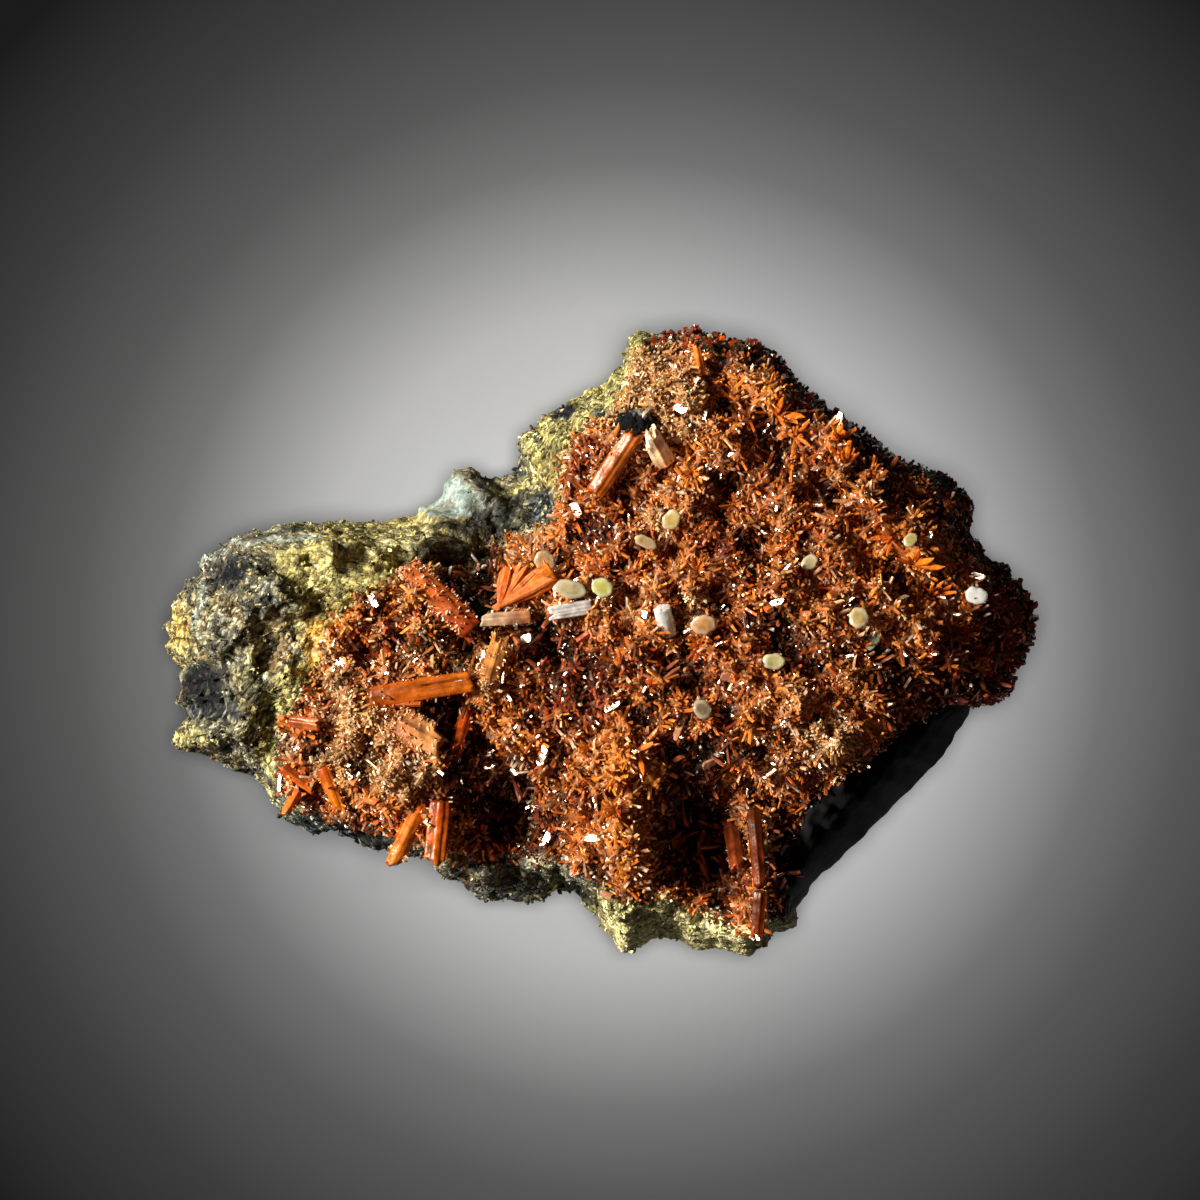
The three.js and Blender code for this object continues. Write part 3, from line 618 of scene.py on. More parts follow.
hidden = on_rays(np.linspace(0.1, 1, HIDDEN_STEPS)[None] * (border[:, None] - 0.08))
outward = np.linspace(0, 1, TOP_STEPS)[None] * (1.05 - border)[:, None]
top = on_rays((border - 0.05)[:, None] + outward)
rim_points = top[:, -1:]
down = np.linspace(0, 1, WALL_STEPS)[1:]
inset = 1 - (1 - SEAT_SHARE) * down**1.6
wall_plan = CENTRE + (rim_points[..., :2] - CENTRE) * inset[None, :, None]
wall = np.concatenate([wall_plan, rim_points[..., 2:] * (1 - down)[None, :, None]], -1)
fine = evenly(np.concatenate([top, wall], 1), FINE_STEPS)
across = np.linspace(1, 0.04, SEAT_STEPS)[1:]
seat_plan = CENTRE + (fine[:, -1:, :2] - CENTRE) * across[None, :, None]
seat = np.concatenate([seat_plan, np.zeros_like(seat_plan[..., :1])], -1)
profile = np.concatenate([hidden, fine, seat], 1)
profile[:, :HIDDEN_STEPS, 2] = BURIED_HEIGHT


def normals(grid):
    """Outward normals of a grid of points: its step along the profile crossed with its step round."""
    along = np.gradient(grid, axis=1)
    round_ = np.roll(grid, -1, axis=0) - np.roll(grid, 1, axis=0)
    return unit(np.cross(along, round_))


def rock_relief(points):
    """Crags, streaky ledges, grain and pits as a move along the normal in mm, with sharp clefts.

    A ridge is one minus the size of a noise: it peaks in a thin line where the noise passes nought.
    """
    bent = points + 0.8 * np.stack([noise(points, 3.0, 41 + k) for k in range(3)], 1)
    block, level = nearest_seed(bent, BLOCK_SIZE, 45)
    crags = 0.5 * (level - 0.5) * (1 - smooth(np.linalg.norm(block, axis=1) / BLOCK_SIZE, 0.45, 0.75))
    crags += layered(points, [(6.5, 0.5), (2.6, 0.2), (0.7, 0.14)], 31)
    streaks = laid_out(points)
    ledges = sum(
        height * (0.4 - np.abs(noise(streaks, size, 36 + k)))
        for k, (size, height) in enumerate([(1.7, 0.4), (0.8, 0.35), (0.42, 0.25)])
    )
    cleft = np.exp(-((noise(points, 4.5, 51) / 0.08) ** 2)) * 0.4
    pits = 0.45 * smooth(noise(points, 1.1, 53), 0.3, 0.8) + 0.3 * smooth(noise(points, 0.6, 54), 0.3, 0.8)
    rough = crags + ledges * (0.45 + 0.55 * smooth(points[:, 2], 9, 15)) - cleft - pits
    return rough * (1 - np.clip(bells(points, SMOOTH_PATCHES), 0, 0.95)) - bells(points, DENTS)


flat = profile.reshape(-1, 3)
move = rock_relief(flat).reshape(RAYS, -1)
share_here = rays(flat[:, 0], flat[:, 1])[0].reshape(RAYS, -1)
on_top = np.arange(profile.shape[1]) < HIDDEN_STEPS + FINE_STEPS * 0.5
under_druse = smooth(border[:, None] - share_here, -0.02, 0.03) * on_top[None]
calm = smooth(profile[..., 2], 0.0, CALM_HEIGHT)
moved = profile + normals(profile) * (move * calm * (1 - under_druse))[..., None]
moved[..., 2] -= SUNK_BY * under_druse
moved[..., 2] = np.maximum(moved[..., 2], 0)

# The seat stays flat, with shallow pores that open into it.
pores = np.maximum(0, layered(flat, [(3.0, 0.5), (1.1, 0.4)], 71)).reshape(RAYS, -1)
in_seat = np.arange(profile.shape[1]) >= HIDDEN_STEPS + FINE_STEPS
moved[..., 2] += pores * in_seat[None]

poles = np.array([[*CENTRE, BURIED_HEIGHT - 0.5], [*CENTRE, 0.3]])
all_points = np.concatenate([moved.transpose(1, 0, 2).reshape(-1, 3), poles])
grainy = 1 - np.clip(bells(all_points, SMOOTH_PATCHES), 0, 0.85)
rock_tint = np.concatenate([rock_colour(all_points), grainy[:, None]], 1)
make_piece(
    "gossan_matrix", all_points, fanned(profile.shape[1], RAYS), gossan,
    replaces=["gossan_rock"], colour=rock_tint, flat=False,
)

# %% [markdown]
# ## Loose grains of the gossan
#
# Broken gossan ends in crumbs: angular grains of quartz and limonite that are still stuck fast. The same
# small form serves for these crumbs and for the little crystals further on. It is a prism, a ring of
# corners carried along an axis, narrowed to its far end and cut aslant there. Thousands of them are
# worked out at once as arrays and joined in one mesh, which costs far less than thousands of objects.

# %% Prisms by the thousand


def prisms(root, axis, length, width, thick, spin, taper, slant, sides=4, shoulder=False):
    """Prisms from arrays of their measures: points (crystal, corner), and the faces of all of them.

    A corner of ring k stands at root + axis * height(k) + across * width * cos + out * thick * sin. The
    last ring is narrowed by taper, and its height leans by slant times the corner's place across.
    """
    some = np.where(np.abs(axis[:, 2:]) < 0.9, [[0.0, 0.0, 1.0]], [[1.0, 0.0, 0.0]])
    level = unit(np.cross(axis, some))
    upright = np.cross(axis, level)
    turn = spin[:, None]
    across = level * np.cos(turn) + upright * np.sin(turn)
    out = np.cross(axis, across)
    angle = np.arange(sides) / sides * math.tau
    rings = [(-0.12, 0.5), (0.62, 1.0), (1.0, None)] if shoulder else [(-0.12, 1.0), (1.0, None)]
    points = []
    for height, scale in rings:
        scale = taper[:, None] if scale is None else scale
        lean = slant[:, None] * np.cos(angle) if height == 1.0 else 0
        along = (height + lean) * length[:, None]
        u = np.cos(angle) * width[:, None] / 2 * scale
        v = np.sin(angle) * thick[:, None] / 2 * scale
        middle = root[:, None] + axis[:, None] * along[..., None]
        points.append(middle + across[:, None] * u[..., None] + out[:, None] * v[..., None])
    return np.concatenate(points, 1), many_capped(len(root), len(rings), sides)


def rough_draw(count, seed):
    """Random numbers from 0 to 1, one for each of count pieces."""
    return chance(np.arange(count)[:, None] * np.array([[1, 3]]), seed)


def rough_draws(count, seed, columns=3):
    """Several columns of random numbers from 0 to 1, from seeds that follow each other."""
    return np.stack([rough_draw(count, seed + k) for k in range(columns)], 1)


def tinted(points, colour, foot, tip, tip_highlight=None):
    """One colour for each prism, spread over its corners: darker at its foot, which is painted shade, and
    lighter at its tip, which is painted light.

    The last argument is how much of a near-white each prism's outer corners get: a painted highlight.
    """
    corners = points.shape[1]
    tone = np.linspace(foot, tip, corners)[None, :, None]
    spread = np.clip(colour[:, None] * tone, 0, 1)
    # Painted highlight on the tip: near-white mixed into the outer half of the corners.
    if tip_highlight is not None:
        white = tip_highlight[:, None] * (np.arange(corners) >= corners * 0.5)[None]
        spread = mixed(spread, linear("#ffe9c8"), white)
    return spread.reshape(-1, 3)


# %% Crumbs on the bare rock
crumb_normals = normals(moved)
bare_rows = slice(HIDDEN_STEPS + 6, HIDDEN_STEPS + FINE_STEPS - 4)
crumb_place = moved[:, bare_rows].reshape(-1, 3)
crumb_normal = crumb_normals[:, bare_rows].reshape(-1, 3)
draw = chance(np.arange(len(crumb_place))[:, None] * np.array([[1, 5]]), 81)
clumped = 0.07 + 0.10 * (layered(crumb_place, [(2.6, 0.7), (1.0, 0.5)], 83) > 0.1)
clumped = clumped * (1 - np.clip(1.3 * bells(crumb_place, SMOOTH_PATCHES), 0, 1))
kept = (draw < clumped) & (crumb_place[:, 2] > 1.2)
crumb_place, crumb_normal = crumb_place[kept], crumb_normal[kept]
count = len(crumb_place)
jitter = rough_draws(count, 90) - 0.5
crumb_axis = unit(crumb_normal + 2.2 * jitter)
crumb_size = 0.13 + 0.34 * rough_draw(count, 94) ** 5
points, faces = prisms(
    crumb_place + 0.3 * jitter - 0.3 * crumb_size[:, None] * crumb_normal, crumb_axis, crumb_size,
    crumb_size * (0.8 + 0.8 * rough_draw(count, 95)), crumb_size * (0.7 + 0.7 * rough_draw(count, 96)),
    rough_draw(count, 97) * math.tau, 0.55 + 0.4 * rough_draw(count, 98), 0.5 * (rough_draw(count, 99) - 0.5),
)
crumb_colour = rock_colour(crumb_place, rough_draw(count, 100))
make_piece("gossan_crumbs", points, faces, gossan, colour=tinted(points, crumb_colour, 0.8, 1.2))

# %% [markdown]
# ## The druse: a floor for the crystals
#
# Crocoite grew here on every bit of the rock's upper face, in tufts that open from common points. Seen
# close up, the carpet has bright humps and deep dark gaps. The floor is the imported druse's surface with
# those humps: domes round random seed points, large and small, so that valleys run between them. Some
# places are listed as well: deep hollows, and patches where the crystals are dusty tan, vivid
# orange, ruddy, or black-green with another mineral's grains.

# %% Places where the druse changes
# In mm: how far apart the two sizes of tufts stand, how far the crust lies under the imported druse, and
# how far over the rock it always stays. Each size of tuft has its own seed.
CLUSTER, TUFT = 4.4, 1.9
CLUSTER_SEED, TUFT_SEED = 101, 103
LOWERED, ABOVE_ROCK = 0.45, 0.1

# Each place: x, y, two radii in mm, and strength.
HOLLOWS = np.array([
    [-13.5, -6.5, 2, 2.6, 1.2], [-13.2, -11.7, 1.6, 1.8, 0.8], [-24.2, -6.2, 0.8, 1.5, 0.9],
    [-8.6, -15, 3.3, 3.7, 1.5], [-11, 4.9, 1.7, 3.2, 1.3], [-23.3, -13.5, 2, 1.1, 0.8],
    [-5.2, 1.4, 3.6, 1.6, 1.1], [15.8, 2.4, 1.8, 2, 1], [7.2, -2.6, 2.2, 1.8, 1],
    [11.7, -5.8, 1.8, 1.2, 0.9], [8.3, -9.9, 3.7, 2.2, 1.1], [8.9, -17.3, 3.8, 4.4, 1.7],
    [16.7, -18.8, 1.8, 4.6, 1.2], [3.7, 9, 2.2, 0.9, 0.6], [26.6, -1.9, 2.7, 2.7, 0.8],
    [34, -4.3, 4.5, 2.2, 0.9], [32, 11.3, 2, 4.1, 0.6], [26.1, 15.9, 3.6, 1.3, 0.6],
    [15.6, 19.4, 1.6, 1, 0.5], [21.5, -1, 1.8, 1.1, 0.6], [24.7, 4.2, 1.3, 1.5, 0.5],
    [11.9, 15, 2.2, 1.5, 0.5], [0, -1, 1.4, 1.1, 0.6],
])
TAN_PLACES = np.array([
    [-19.6, -9.7, 4.3, 4, 1.2], [-16.4, -12.6, 1.8, 1.5, 0.9], [-10.5, -3.1, 1.1, 3.8, 0.8],
    [-22.3, -4.2, 1.5, 1.8, 0.6], [20.6, -8.3, 3.3, 3.9, 1.3], [8.7, 2.9, 1.5, 2.4, 1],
    [6.4, 20, 3.8, 3, 1], [6, 11.3, 3.3, 2, 0.6], [0.5, 4, 3.7, 2.7, 0.5],
    [24.3, 1.7, 1.5, 2.2, 0.7], [21.5, 15.4, 1.1, 0.9, 0.7], [3.6, 24, 5.4, 4, 1.1],
    [-23, -9, 3, 3.5, 1.1], [-24.5, -1.5, 2.5, 3, 0.5],
])
VIVID_PLACES = np.array([
    [-23.7, 2.9, 2, 1.3, 0.9], [-16.9, 6.6, 1.5, 1.5, 1], [-27.6, -7.1, 1.3, 1.3, 0.8],
    [-28.1, -12, 0.9, 2.2, 0.9], [-5, 6.3, 2.2, 2.4, 0.9], [16, 21.6, 2.3, 2.4, 1],
    [22, 17.7, 1.9, 2.9, 1.2], [28.6, 9, 3.6, 2.8, 1.2], [2.3, -10.8, 2.5, 3.2, 1.3],
    [2.6, -18.1, 2, 4.8, 1.4], [5.1, 17.7, 2.4, 1.3, 0.9], [-1.3, 17.7, 1.8, 1.5, 0.8],
    [23.8, 8.6, 3.3, 1.6, 0.6], [-15.5, -16.1, 2.2, 1.8, 0.8], [-20.1, -14.3, 1.8, 1.3, 0.7],
    [-11.8, -16.3, 1.3, 1.5, 0.7], [14.5, -23, 1.2, 4, 0.8], [9.5, 19, 4, 3, 0.6],
])
RUDDY_PLACES = np.array([
    [-3.6, -4.2, 4.8, 4.8, 1], [31.1, 0.4, 3.7, 2.7, 0.7], [11, 9, 3.6, 1.8, 0.5],
    [37, 3, 3.2, 8, 1.2], [31, 13.5, 4.5, 3.4, 1], [22.5, 21.5, 5, 2.2, 0.8],
    [12, 27, 6, 1.6, 0.7], [-1.5, 15.5, 2.4, 4, 0.8],
])
DUSKY_PLACES = np.array([
    [-15.5, 0.2, 4.3, 2, 1.1], [-12.6, -2, 1.8, 1, 0.8], [15.6, -9.7, 1.8, 4.1, 1],
    [17, -16, 1.8, 2, 0.8], [-22.5, -3, 2, 1.6, 0.5], [-17.5, -10.5, 5, 4, 0.5],
])


# %% Height of the crust with its humps
def crust_relief(plan):
    """Domes round seed points 4.4 mm and 1.9 mm apart, with noise and the hollows: 1.5 mm up and down."""
    bent = plan + 0.5 * np.stack([noise(plan, 1.4, 107), noise(plan, 1.4, 108)], 1)
    big, level = nearest_seed(bent, CLUSTER, CLUSTER_SEED)
    small, height = nearest_seed(bent, TUFT, TUFT_SEED)
    dome = 1.2 * (0.4 - np.linalg.norm(big, axis=1) / CLUSTER) + 0.7 * (level - 0.5)
    dome += 1.2 * (0.4 - np.linalg.norm(small, axis=1) / TUFT) + 0.8 * (height - 0.5)
    gaps = smooth(layered(plan, [(3.4, 0.7), (1.6, 0.45)], 109), 0.32, 0.64)
    placed = 0.6 * bells(plan, VIVID_PLACES) + 0.4 * bells(plan, TAN_PLACES) - 1.5 * bells(plan, HOLLOWS)
    return dome + layered(plan, [(8.0, 0.4), (2.6, 0.3), (0.8, 0.2)], 105) - 1.3 * gaps + placed


def crust_height(plan):
    """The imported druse's height, lowered a little, plus the humps, and never under the rock."""
    x, y = plan.T
    share, reach, bare = rays(x, y)
    edge = smooth((1 - bare / reach) - share, 0.0, 0.06)
    relief = crust_relief(plan) * (0.35 + 0.65 * edge)
    return np.maximum(druse_height(x, y) - LOWERED + relief, rock_height(x, y) + ABOVE_ROCK)


def on_crust(plan, lift=0.0):
    """Places in plan as points that lie lift mm over the crust, or under it where lift is negative."""
    return np.concatenate([plan, (crust_height(plan) + lift)[:, None]], 1)


def upward(plan, height, step=0.25):
    """The unit normal of a height function, from its slopes over a small step."""
    east = height(plan + [step, 0]) - height(plan - [step, 0])
    north = height(plan + [0, step]) - height(plan - [0, step])
    return unit(np.stack([-east, -north, np.full(len(plan), 2 * step)], 1))


# %% Colours of crocoite
BRIGHT, DEEP, BROWN, GOLD, MAROON, PALE_GOLD, RUDDY, DUSKY, NIGHT, FLAME = (
    linear(code)
    for code in ("#ee9034", "#ce5610", "#8e340c", "#d8b074", "#501606", "#fbe8c0", "#82280c", "#3a3420",
                 "#221008", "#f07414")
)


def crocoite_colour(plan, relief, seed, dust_and_top_light=0.0):
    """Orange that varies from tuft to tuft, dark in the gaps, and golden, ruddy or dusky in its patches.
    The dark of the gaps and of the hollows is painted shade, in the hollows partly their own dark brown.

    The fourth argument is how much of the golden, dusty sort is mixed in everywhere. It is laid on more
    thickly on top of the humps, and that part is painted light, which makes the tops paler.
    """
    _, cluster = nearest_seed(plan, CLUSTER, CLUSTER_SEED)
    _, tuft = nearest_seed(plan, TUFT, TUFT_SEED)
    own = [rough_draw(len(plan), seed + k) for k in range(5)]
    vivid, tan, ruddy, dusky = (
        smooth(patch_strength(plan, places, 111 + 2 * k), 0.3, 0.9)
        for k, places in enumerate((VIVID_PLACES, TAN_PLACES, RUDDY_PLACES, DUSKY_PLACES))
    )
    on_top = smooth(relief, -0.2, 0.8)
    colour = mixed(DEEP, BRIGHT, 0.1 + 0.35 * cluster + 0.35 * tuft + 0.7 * (own[0] - 0.4) + 0.5 * vivid)
    colour = mixed(colour, BROWN, (own[1] > 0.72) * 0.75 * (1 - 0.6 * vivid))
    # Partly painted light: the golden mix is thicker on top of the humps.
    dusty = np.clip(dust_and_top_light * (0.3 + 0.7 * on_top) + tan, 0, 1) * (0.25 + 0.75 * own[2])
    colour = mixed(colour, GOLD, dusty * (1 - 0.8 * vivid))
    colour = mixed(colour, PALE_GOLD, (0.3 + 0.6 * tan) * (own[3] > 0.88))
    colour = mixed(colour, RUDDY, ruddy * (0.55 + 0.45 * (own[4] > 0.3)))
    colour = mixed(colour, DUSKY, 0.9 * dusky * (own[4] > 0.35))
    # Painted shade: maroon in the low places between the humps.
    colour = mixed(colour, MAROON, 0.85 * smooth(-relief, 0.1, 1.1))
    # Painted shade in the hollows, near-black brown, partly their own dark colour.
    return mixed(colour, NIGHT, 0.93 * smooth(bells(plan, HOLLOWS), 0.45, 1.1) * (own[0] < 0.93))


# %% Crocoite material
def crocoite_material(name, roughness, fine, shine, uneven):
    """Lead chromate crystals: adamantine gloss and orange body colour, on faces that are slightly uneven.

    fine is how many clouds lie on a metre, shine scales the reflection, and uneven is a height in metres.
    """
    material, tree, surface = new_material(name)
    place = add(tree, "TexCoord")["Object"]
    base = add(tree, "Attribute", {"attribute_name": "colour"})["Color"]
    cloud = add(tree, "TexNoise", {}, {"Vector": place, "Scale": fine, "Detail": 2.0, "Roughness": 0.6})
    body = multiplied(tree, 1.0, base, ranged(tree, cloud["Fac"], 0.3, 0.7, 0.6, 1.35))
    gloss = ranged(tree, cloud["Fac"], 0.35, 0.65, roughness, roughness + 0.15)
    bump = add(tree, "Bump", {}, {"Strength": 0.35, "Distance": uneven, "Height": cloud["Fac"]})
    principled(tree, surface, {
        "Base Color": body, "Roughness": gloss, "Normal": bump[0], "IOR": 2.3,
        "Specular IOR Level": shine, "Specular Tint": (1.0, 0.92, 0.78, 1.0),
    })
    return material


crocoite, crocoite_worn, crocoite_clear, crocoite_facet = (
    crocoite_material(f"crocoite_{name}", roughness, fine, shine, uneven)
    for name, roughness, fine, shine, uneven in (
        ("druse_natural_faces", 0.1, 2400.0, 0.45, 0.00015),
        ("crust_worn", 0.6, 1600.0, 0.1, 0.00005),
        ("prism_natural_faces", 0.28, 1100.0, 0.1, 0.0003),
        ("plate_natural_faces", 0.1, 1300.0, 0.5, 0.00022),
    )
)

# %% Druse floor
# In the north-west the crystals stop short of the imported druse's border, and ochre rock shows.
SHORTFALL = np.array([[-26.5, 2.0, 4.0, 4.0, 1.3]])


def inside_border(plan):
    """How many mm inside the crystals' border each place lies: the druse's own border less the shortfall."""
    share, reach, bare = rays(plan[:, 0], plan[:, 1])
    return (1 - share) * reach - bare - bells(plan, SHORTFALL)


CRUST_RAYS, CRUST_ROWS = 480, 76
SKIRT_DEPTH = 0.8  # mm under the rock's own surface, so that no gap shows at the border
turn = np.linspace(0, math.tau, CRUST_RAYS, endpoint=False)
direction = np.stack([np.cos(turn), np.sin(turn)], 1)
crust_reach = np.interp(turn, rim_angle, rim_reach, period=math.tau)
crust_border = border_share(*(CENTRE + direction * crust_reach[:, None] * 0.5).T)
fray = layered(direction * crust_reach[:, None], [(3.0, 0.5), (1.2, 0.35)], 121) / crust_reach
shares = np.linspace(0.02, 1, 3 * CRUST_ROWS)[None] * (crust_border + fray)[:, None]
plan = CENTRE + direction[:, None] * (crust_reach[:, None] * shares)[..., None]
heights = crust_height(plan.reshape(-1, 2)).reshape(shares.shape)
crust_grid = evenly(np.concatenate([plan, heights[..., None]], -1), CRUST_ROWS).transpose(1, 0, 2)
crust_top, edge_plan = crust_grid.reshape(-1, 3), crust_grid[-1, :, :2]
skirt = np.concatenate([edge_plan, rock_height(*edge_plan.T)[:, None] - SKIRT_DEPTH], 1)
sunk_plan = CENTRE + 0.85 * (edge_plan - CENTRE)
sunk = np.concatenate([sunk_plan, np.full((CRUST_RAYS, 1), 0.5 * BURIED_HEIGHT)], 1)
crust_middle = np.array([*on_crust(CENTRE[None]), [*CENTRE, 0.3 * BURIED_HEIGHT]])
crust_points = np.concatenate([crust_top, skirt, sunk, crust_middle])
floor_relief = crust_relief(crust_points[:, :2])
crust_colour = crocoite_colour(crust_points[:, :2], floor_relief, 131, 0.4)
# Painted shade: the whole floor between the crystals is darkened, to a fifth of its colour in the low places
# and about half on the humps.
crust_colour = crust_colour * (0.2 + 0.35 * smooth(floor_relief, -0.8, 0.8))[:, None]
crust_colour = mixed(crust_colour, rock_colour(crust_points), smooth(inside_border(crust_points), 0.8, 0.2))
make_piece(
    "druse_floor", crust_points, fanned(CRUST_ROWS + 2, CRUST_RAYS), crocoite_worn,
    replaces=["crocoite_druse"], colour=crust_colour, flat=False,
)

# %% [markdown]
# ## The druse's crystals
#
# On the real specimen the crystals run from sugar-like grains to prisms a few millimetres long. Each
# size is scattered on its own jittered grid, which keeps neighbours from falling on one spot. A crystal
# leans away from its tuft's middle, so every tuft opens like a small brush. Crocoite's prisms are
# four-sided, and so are the grains. The sugar is three-sided, which is all that the eye can tell at a
# quarter of a millimetre, and saves a third of the faces.

# %% Scattering places over the druse
FURTHEST = 42  # mm from the middle, past every edge of the specimen


def scattered(spacing, seed, overhang=0.0):
    """Jittered grid points inside the druse, or up to overhang mm past its border, moved by half a cell."""
    side = np.arange(-FURTHEST, FURTHEST, spacing)
    east, north = (g.ravel() for g in np.meshgrid(side, side))
    cell = np.stack([east, north], 1) / spacing
    whole = np.round(cell).astype(np.int64)
    moved_by = np.stack([chance(whole, seed), chance(whole, seed + 1)], 1) - 0.5
    plan = (whole + moved_by) * spacing
    return plan[inside_border(plan) > -overhang - 0.5 * noise(plan, 1.5, seed + 2)]


def thinned(plan, seed, always, in_hollows):
    """Keeps a share of the places: always says how many on the humps, in_hollows how many in the hollows.

    A steep face shows less of itself from above, so more are kept there, up to all of them.
    """
    deep = smooth(bells(plan, HOLLOWS), 0.3, 0.9)
    level = upward(plan, crust_height)[:, 2]
    return plan[rough_draw(len(plan), seed) * level < always + (in_hollows - always) * deep]


def leaning(plan, cluster_size, cluster_seed, spread, jitter, seed):
    """Axes that start from the crust's normal and lean away from the cluster's middle."""
    step, _ = nearest_seed(plan, cluster_size, cluster_seed)
    away = np.concatenate([step / cluster_size, np.zeros((len(plan), 1))], 1)
    wild = rough_draws(len(plan), seed) - 0.5
    return unit(upward(plan, crust_height) + spread * away + jitter * wild)


def druse_crystals(name, plan, lengths, widths, seed, spread, jitter, dust_and_top_light, tapers, sides,
                   material=crocoite, tint=None):
    """One mesh of crystals: places on the crust, and ranges of length, width and taper."""
    count = len(plan)
    axis = leaning(plan, TUFT, TUFT_SEED, spread, jitter, seed)
    grown = rough_draw(count, seed + 5) ** 1.6
    length = lengths[0] + (lengths[1] - lengths[0]) * grown
    width = widths[0] + (widths[1] - widths[0]) * (0.5 * grown + 0.5 * rough_draw(count, seed + 6))
    taper = tapers[0] + (tapers[1] - tapers[0]) * rough_draw(count, seed + 9)
    points, faces = prisms(
        on_crust(plan, -0.12), axis, length, width, width * (0.6 + 0.4 * rough_draw(count, seed + 7)),
        rough_draw(count, seed + 8) * math.tau, taper, 0.35 * (rough_draw(count, seed + 10) - 0.5), sides,
    )
    tint = crocoite_colour(plan, crust_relief(plan), seed + 20, dust_and_top_light) if tint is None else tint
    tint = tint * (0.35 + 1.05 * rough_draw(count, seed + 27) ** 1.2)[:, None]
    # Painted highlight: about one prism in seven gets near-white tips.
    tip_highlight = 0.55 * (rough_draw(count, seed + 28) > 0.86)
    make_piece(name, points, faces, material, colour=tinted(points, tint, 0.45, 1.25, tip_highlight))


# %% Grains under half a millimetre wide, in three pieces from west to east
grains = thinned(scattered(0.3, 151, overhang=0.3), 153, always=0.8, in_hollows=0.5)
part = np.digitize(grains[:, 0] + 0.3 * grains[:, 1], [-4, 13])
for k in range(3):
    druse_crystals(
        f"druse_grains_{k + 1}", grains[part == k], lengths=(0.25, 0.8), widths=(0.2, 0.42),
        seed=160 + 40 * k, spread=1.4, jitter=2.6, dust_and_top_light=0.3, tapers=(0.6, 1.0), sides=4,
    )

# %% Sugar: grains a quarter of a millimetre wide, where the druse is tan or dusky
sugar = scattered(0.23, 331, overhang=0.4)
dusty = np.maximum(bells(sugar, TAN_PLACES), bells(sugar, DUSKY_PLACES)) + 0.2 * noise(sugar, 1.3, 333)
sugar = thinned(sugar[dusty > 0.3], 334, always=0.85, in_hollows=0.3)
druse_crystals(
    "druse_sugar", sugar, lengths=(0.2, 0.5), widths=(0.16, 0.28), seed=340, spread=1.0, jitter=2.8,
    dust_and_top_light=0.8, tapers=(0.6, 1.0), sides=3, material=crocoite_worn,
)

# %% Crumbs of gossan along the druse's border
# They lie only where the bare rock beside the druse is wider than this many mm.
NARROW_RIM = 3.0
crumbs = scattered(0.34, 351, overhang=2.0)
depth = inside_border(crumbs)
wide_rim = rays(*crumbs.T)[2] > NARROW_RIM
crumbs = crumbs[wide_rim & (depth > -0.4) & (depth < 0.4 + 0.8 * noise(crumbs, 1.4, 353))]
druse_crystals(
    "gossan_border_crumbs", crumbs, lengths=(0.2, 0.45), widths=(0.2, 0.42), seed=360, spread=1.0,
    jitter=2.8, dust_and_top_light=0.0, tapers=(0.6, 1.0), sides=4, material=gossan,
    tint=rock_colour(on_crust(crumbs)),
)

# %% Rods: prisms half a millimetre to two millimetres long
rods = thinned(scattered(0.62, 291), 293, always=0.5, in_hollows=0.2)
rods = rods[rough_draw(len(rods), 294) > 0.75 * smooth(bells(rods, TAN_PLACES), 0.2, 0.8)]
druse_crystals(
    "druse_rods", rods, lengths=(0.5, 1.5), widths=(0.22, 0.44), seed=300, spread=1.8, jitter=2.0,
    dust_and_top_light=0.2, tapers=(0.8, 1.0), sides=4,
)

# %% Blocks: stout red-brown prisms, mostly in the west
blocks = thinned(scattered(1.35, 311, overhang=-0.3), 313, always=0.75, in_hollows=0.1)
few = 1 - 0.85 * smooth(bells(blocks, TAN_PLACES), 0.2, 0.8)
blocks = blocks[rough_draw(len(blocks), 314) < few * (0.12 + 0.7 * smooth(-blocks[:, 0], 11, 18))]
count = len(blocks)
lean = leaning(blocks, CLUSTER, CLUSTER_SEED, spread=1.5, jitter=2.2, seed=315)
width = 0.45 + 0.5 * rough_draw(count, 319) ** 2
points, faces = prisms(
    on_crust(blocks, -0.15), lean, 0.6 + 0.9 * rough_draw(count, 320), width,
    width * (0.5 + 0.4 * rough_draw(count, 321)), rough_draw(count, 322) * math.tau,
    0.75 + 0.25 * rough_draw(count, 323), 0.4 * (rough_draw(count, 324) - 0.5), sides=6,
)
tint = mixed(linear("#8c3412"), linear("#d87a3c"), rough_draw(count, 325) ** 1.5)
make_piece("druse_blocks", points, faces, crocoite_clear, colour=tinted(points, tint, 0.45, 1.3))

# %% Brown prisms in the hollows
# The crystals that had room in the hollows are longer, blunt and clear brown.
places = scattered(0.85, 271)
places = places[(bells(places, HOLLOWS) > 0.5) & (rough_draw(len(places), 273) < 0.7)]
count = len(places)
lean = leaning(places, CLUSTER, CLUSTER_SEED, spread=1.6, jitter=1.6, seed=274)
width = 0.3 + 0.35 * rough_draw(count, 278)
points, faces = prisms(
    on_crust(places, -0.1), unit(lean + [0, 0, 0.3]), 0.8 + 1.5 * rough_draw(count, 277), width, 0.8 * width,
    rough_draw(count, 279) * math.tau, 0.6 + 0.3 * rough_draw(count, 280),
    0.3 * (rough_draw(count, 281) - 0.5), sides=6, shoulder=True,
)
tint = mixed(linear("#3c1408"), linear("#a85c38"), rough_draw(count, 282) ** 1.5)
make_piece(
    "druse_hollow_prisms", points, faces, crocoite_clear, colour=tinted(points, tint, 0.4, 1.5),
)

